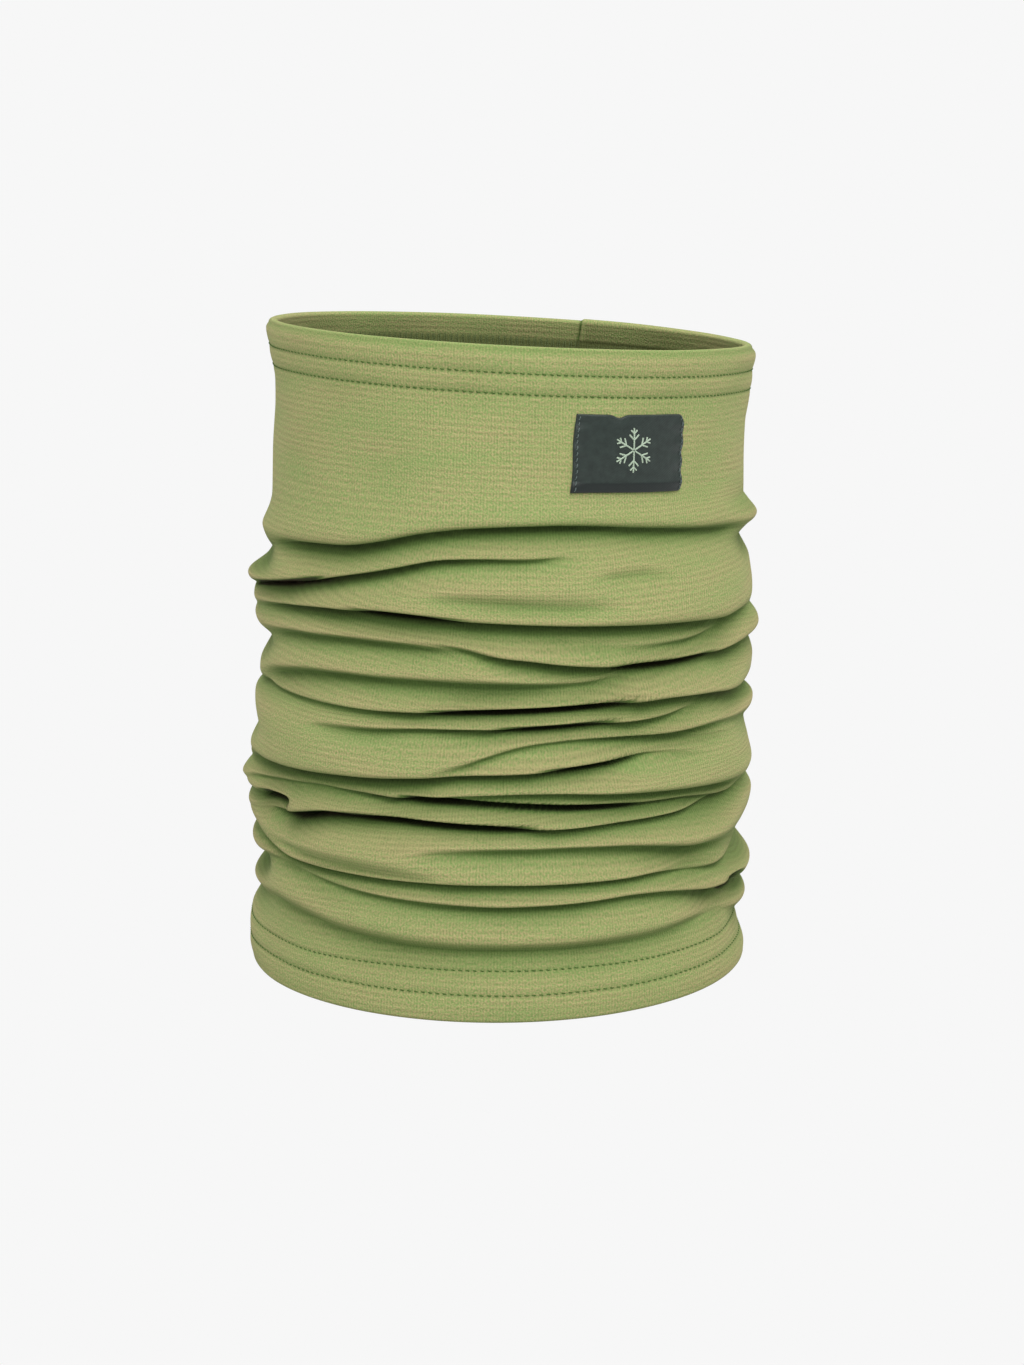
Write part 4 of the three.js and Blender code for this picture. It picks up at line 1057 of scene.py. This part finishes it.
def satin_tape():
    """Damask-woven polyester satin tape: fine upright warp floats, a soft gleam, a darker folded foot."""
    material, tree = new_material("woven_satin_tape")
    place = add(tree, "ShaderNodeUVMap", uv_map="cloth")
    split = add(tree, "ShaderNodeSeparateXYZ", {0: place.outputs[0]})
    warp_turn = add(tree, "ShaderNodeMath", {0: split.outputs[0], 1: math.tau / WARP_PITCH},
                    operation="MULTIPLY")
    weft_turn = add(tree, "ShaderNodeMath", {0: split.outputs[1], 1: math.tau / WEFT_PITCH},
                    operation="MULTIPLY")
    shifted = add(tree, "ShaderNodeMath", {0: warp_turn.outputs[0], 1: 0.5, 2: weft_turn.outputs[0]},
                  operation="MULTIPLY_ADD")
    warp = add(tree, "ShaderNodeMath", {0: warp_turn.outputs[0]}, operation="SINE")
    weft = add(tree, "ShaderNodeMath", {0: shifted.outputs[0]}, operation="SINE")
    weave = add(tree, "ShaderNodeMath", {0: warp.outputs[0], 1: weft.outputs[0]}, operation="MULTIPLY")
    mottle = add(tree, "ShaderNodeTexNoise", {"Vector": place.outputs[0], "Scale": 420.0, "Detail": 3.0})
    foot = add(tree, "ShaderNodeAttribute", attribute_name="foot")
    field = add(tree, "ShaderNodeMix", {0: mottle.outputs[0], 6: colour(TAPE_DARK), 7: colour(TAPE_PALE)},
                data_type="RGBA")
    tone = add(tree, "ShaderNodeMix", {0: foot.outputs["Fac"], 6: field.outputs[2], 7: colour(TAPE_FOOT)},
               data_type="RGBA")
    height = add(tree, "ShaderNodeMath", {0: weave.outputs[0], 1: 0.6, 2: mottle.outputs[0]},
                 operation="MULTIPLY_ADD")
    lit = add(tree, "ShaderNodeMapRange", {0: height.outputs[0], 1: -0.4, 2: 1.3, 3: 0.82, 4: 1.2})
    shaded = add(tree, "ShaderNodeVectorMath", {0: tone.outputs[2], 1: lit.outputs[0]}, operation="MULTIPLY")
    bump = add(tree, "ShaderNodeBump", {"Strength": 0.35, "Distance": 0.08 * MM, "Height": height.outputs[0]})
    shader = add(tree, "ShaderNodeBsdfPrincipled", {
        "Base Color": shaded.outputs[0],
        "Roughness": 0.42,
        "Specular IOR Level": 0.32,
        "Sheen Weight": 0.1,
        "Normal": bump.outputs[0],
    })
    add(tree, "ShaderNodeOutputMaterial", {0: shader.outputs[0]})
    return material


def label_stitching(name, across, node):
    """Small upright stitches along one side of the label, each over the tape's edge."""
    stitch = bent_thread("tack", TACK_STITCH, THREAD)
    ups = np.linspace(0.05, 0.95, LABEL_TACKS)
    spots, along, upward, out = on_label(np.full_like(ups, across), ups, 0.1)
    row = repeat(name, stitch, spots, along, upward, out, label_thread)
    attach(row, "upper")
    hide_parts(node)


def make_snowflake():
    """A plain six-armed snowflake of pale thread lying on the middle of the label."""
    arm = [(0.0, 0.3), (0.0, 7.0)]
    barbs = [
        [(0.0, 3.2), (1.7, 4.9)],
        [(0.0, 3.2), (-1.7, 4.9)],
        [(0.0, 5.2), (1.1, 6.3)],
        [(0.0, 5.2), (-1.1, 6.3)],
    ]
    strokes = []
    for turn in range(6):
        cosine = math.cos(math.radians(60 * turn))
        sine = math.sin(math.radians(60 * turn))
        for stroke in [arm] + barbs:
            strokes.append([(x * cosine - y * sine, x * sine + y * cosine) for x, y in stroke])
    pieces = []
    for start, end in strokes:
        steps = max(3, int(math.dist(start, end) / 0.9) + 1)
        line = np.linspace(start, end, steps)
        across = 0.5 + line[:, 0] / LABEL_WIDE
        up = 0.55 + line[:, 1] / LABEL_TALL
        spots, _, _, out = on_label(across, up, 0.1)
        sink = np.zeros(steps)
        sink[[0, -1]] = -0.12
        pieces.append(bent_thread("stroke", spots + out * sink[:, None], MOTIF_THREAD))
    bpy.ops.object.select_all(action="DESELECT")
    for piece in pieces:
        piece.select_set(True)
    bpy.context.view_layer.objects.active = pieces[0]
    bpy.ops.object.join()
    flake = bpy.context.object
    flake.name = "label_snowflake"
    corners = np.array([v.co[:] for v in flake.data.vertices])
    faces = [list(p.vertices) for p in flake.data.polygons]
    bpy.data.objects.remove(flake)
    flake = mesh_piece("label_snowflake", corners, faces)
    flake.data.materials.append(motif_thread)
    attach(flake, "upper")
    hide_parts("label_motif")


label_thread = spun_thread("label_sewing_thread", LABEL_THREAD_DARK, LABEL_THREAD_GLINT, 0.55)
motif_thread = spun_thread("pale_motif_thread", MOTIF_PALE, MOTIF_GLINT, 0.5)
make_label()
label_stitching("label_stitches_left", 0.03, "label_stitching_left")
label_stitching("label_stitches_right", 0.97, "label_stitching_right")
make_snowflake()


# ---------------------------------------------------------------- stage, light and camera

PAPER = "f7f7f7"
PAPER_BOUNCE = "c8c8c8"
AIMED_AT = (0, 0, 0.11)
CAMERA_TILT = 11.95


def make_stage():
    """A seamless sheet of pale paper. The camera sees it evenly bright, without shadows, and it throws light
    back at the object."""
    bpy.ops.object.select_all(action="DESELECT")
    bpy.ops.mesh.primitive_plane_add(size=16, location=(0, 0, 0))
    floor = bpy.context.object
    floor.name = "studio_floor"
    material, tree = new_material("seamless_paper")
    paper = add(tree, "ShaderNodeBsdfDiffuse", {"Color": colour(PAPER_BOUNCE)})
    bright = add(tree, "ShaderNodeEmission", {"Color": colour(PAPER), "Strength": 1.0})
    ray = add(tree, "ShaderNodeLightPath")
    mixed = add(tree, "ShaderNodeMixShader",
                {0: ray.outputs["Is Camera Ray"], 1: paper.outputs[0], 2: bright.outputs[0]})
    add(tree, "ShaderNodeOutputMaterial", {0: mixed.outputs[0]})
    floor.data.materials.append(material)


def make_sky():
    """A white light tent: brightest overhead, dim near the floor, and plain paper behind."""
    world = bpy.data.worlds.new("light_tent")
    bpy.context.scene.world = world
    world.use_nodes = True
    tree = world.node_tree
    tree.nodes.clear()
    place = add(tree, "ShaderNodeTexCoord")
    split = add(tree, "ShaderNodeSeparateXYZ", {0: place.outputs["Generated"]})
    height = add(tree, "ShaderNodeMapRange", {0: split.outputs[2], 1: 0.0, 2: 1.0, 3: 0.08, 4: 1.9},
                 interpolation_type="SMOOTHSTEP")
    tent = add(tree, "ShaderNodeBackground", {"Color": colour("ffffff"), "Strength": height.outputs[0]})
    paper = add(tree, "ShaderNodeBackground", {"Color": colour(PAPER), "Strength": 1.0})
    ray = add(tree, "ShaderNodeLightPath")
    mixed = add(tree, "ShaderNodeMixShader",
                {0: ray.outputs["Is Camera Ray"], 1: tent.outputs[0], 2: paper.outputs[0]})
    add(tree, "ShaderNodeOutputWorld", {0: mixed.outputs[0]})


def make_softbox(name, power, size, place):
    light = bpy.data.lights.new(name, "AREA")
    light.energy = power
    light.size = size
    lamp = bpy.data.objects.new(name, light)
    lamp.location = place
    towards = mathutils.Vector(AIMED_AT) - lamp.location
    lamp.rotation_euler = towards.to_track_quat("-Z", "Y").to_euler()
    bpy.context.scene.collection.objects.link(lamp)


def make_camera():
    view = bpy.data.cameras.new("view")
    view.sensor_width = 36
    view.lens = 64.2
    view.clip_start = 0.05
    view.clip_end = 20
    camera = bpy.data.objects.new("view", view)
    camera.location = (0.0046, -0.8206, 0.2676)
    camera.rotation_euler = (math.radians(90 - CAMERA_TILT), 0, 0)
    bpy.context.scene.collection.objects.link(camera)
    bpy.context.scene.camera = camera


make_stage()
make_sky()
make_softbox("softbox_front", 16, 0.9, (0.35, -1.05, 1.35))
make_softbox("softbox_left", 1, 0.8, (-1.2, -0.5, 1.1))
make_camera()
bpy.context.scene.view_settings.view_transform = "Standard"
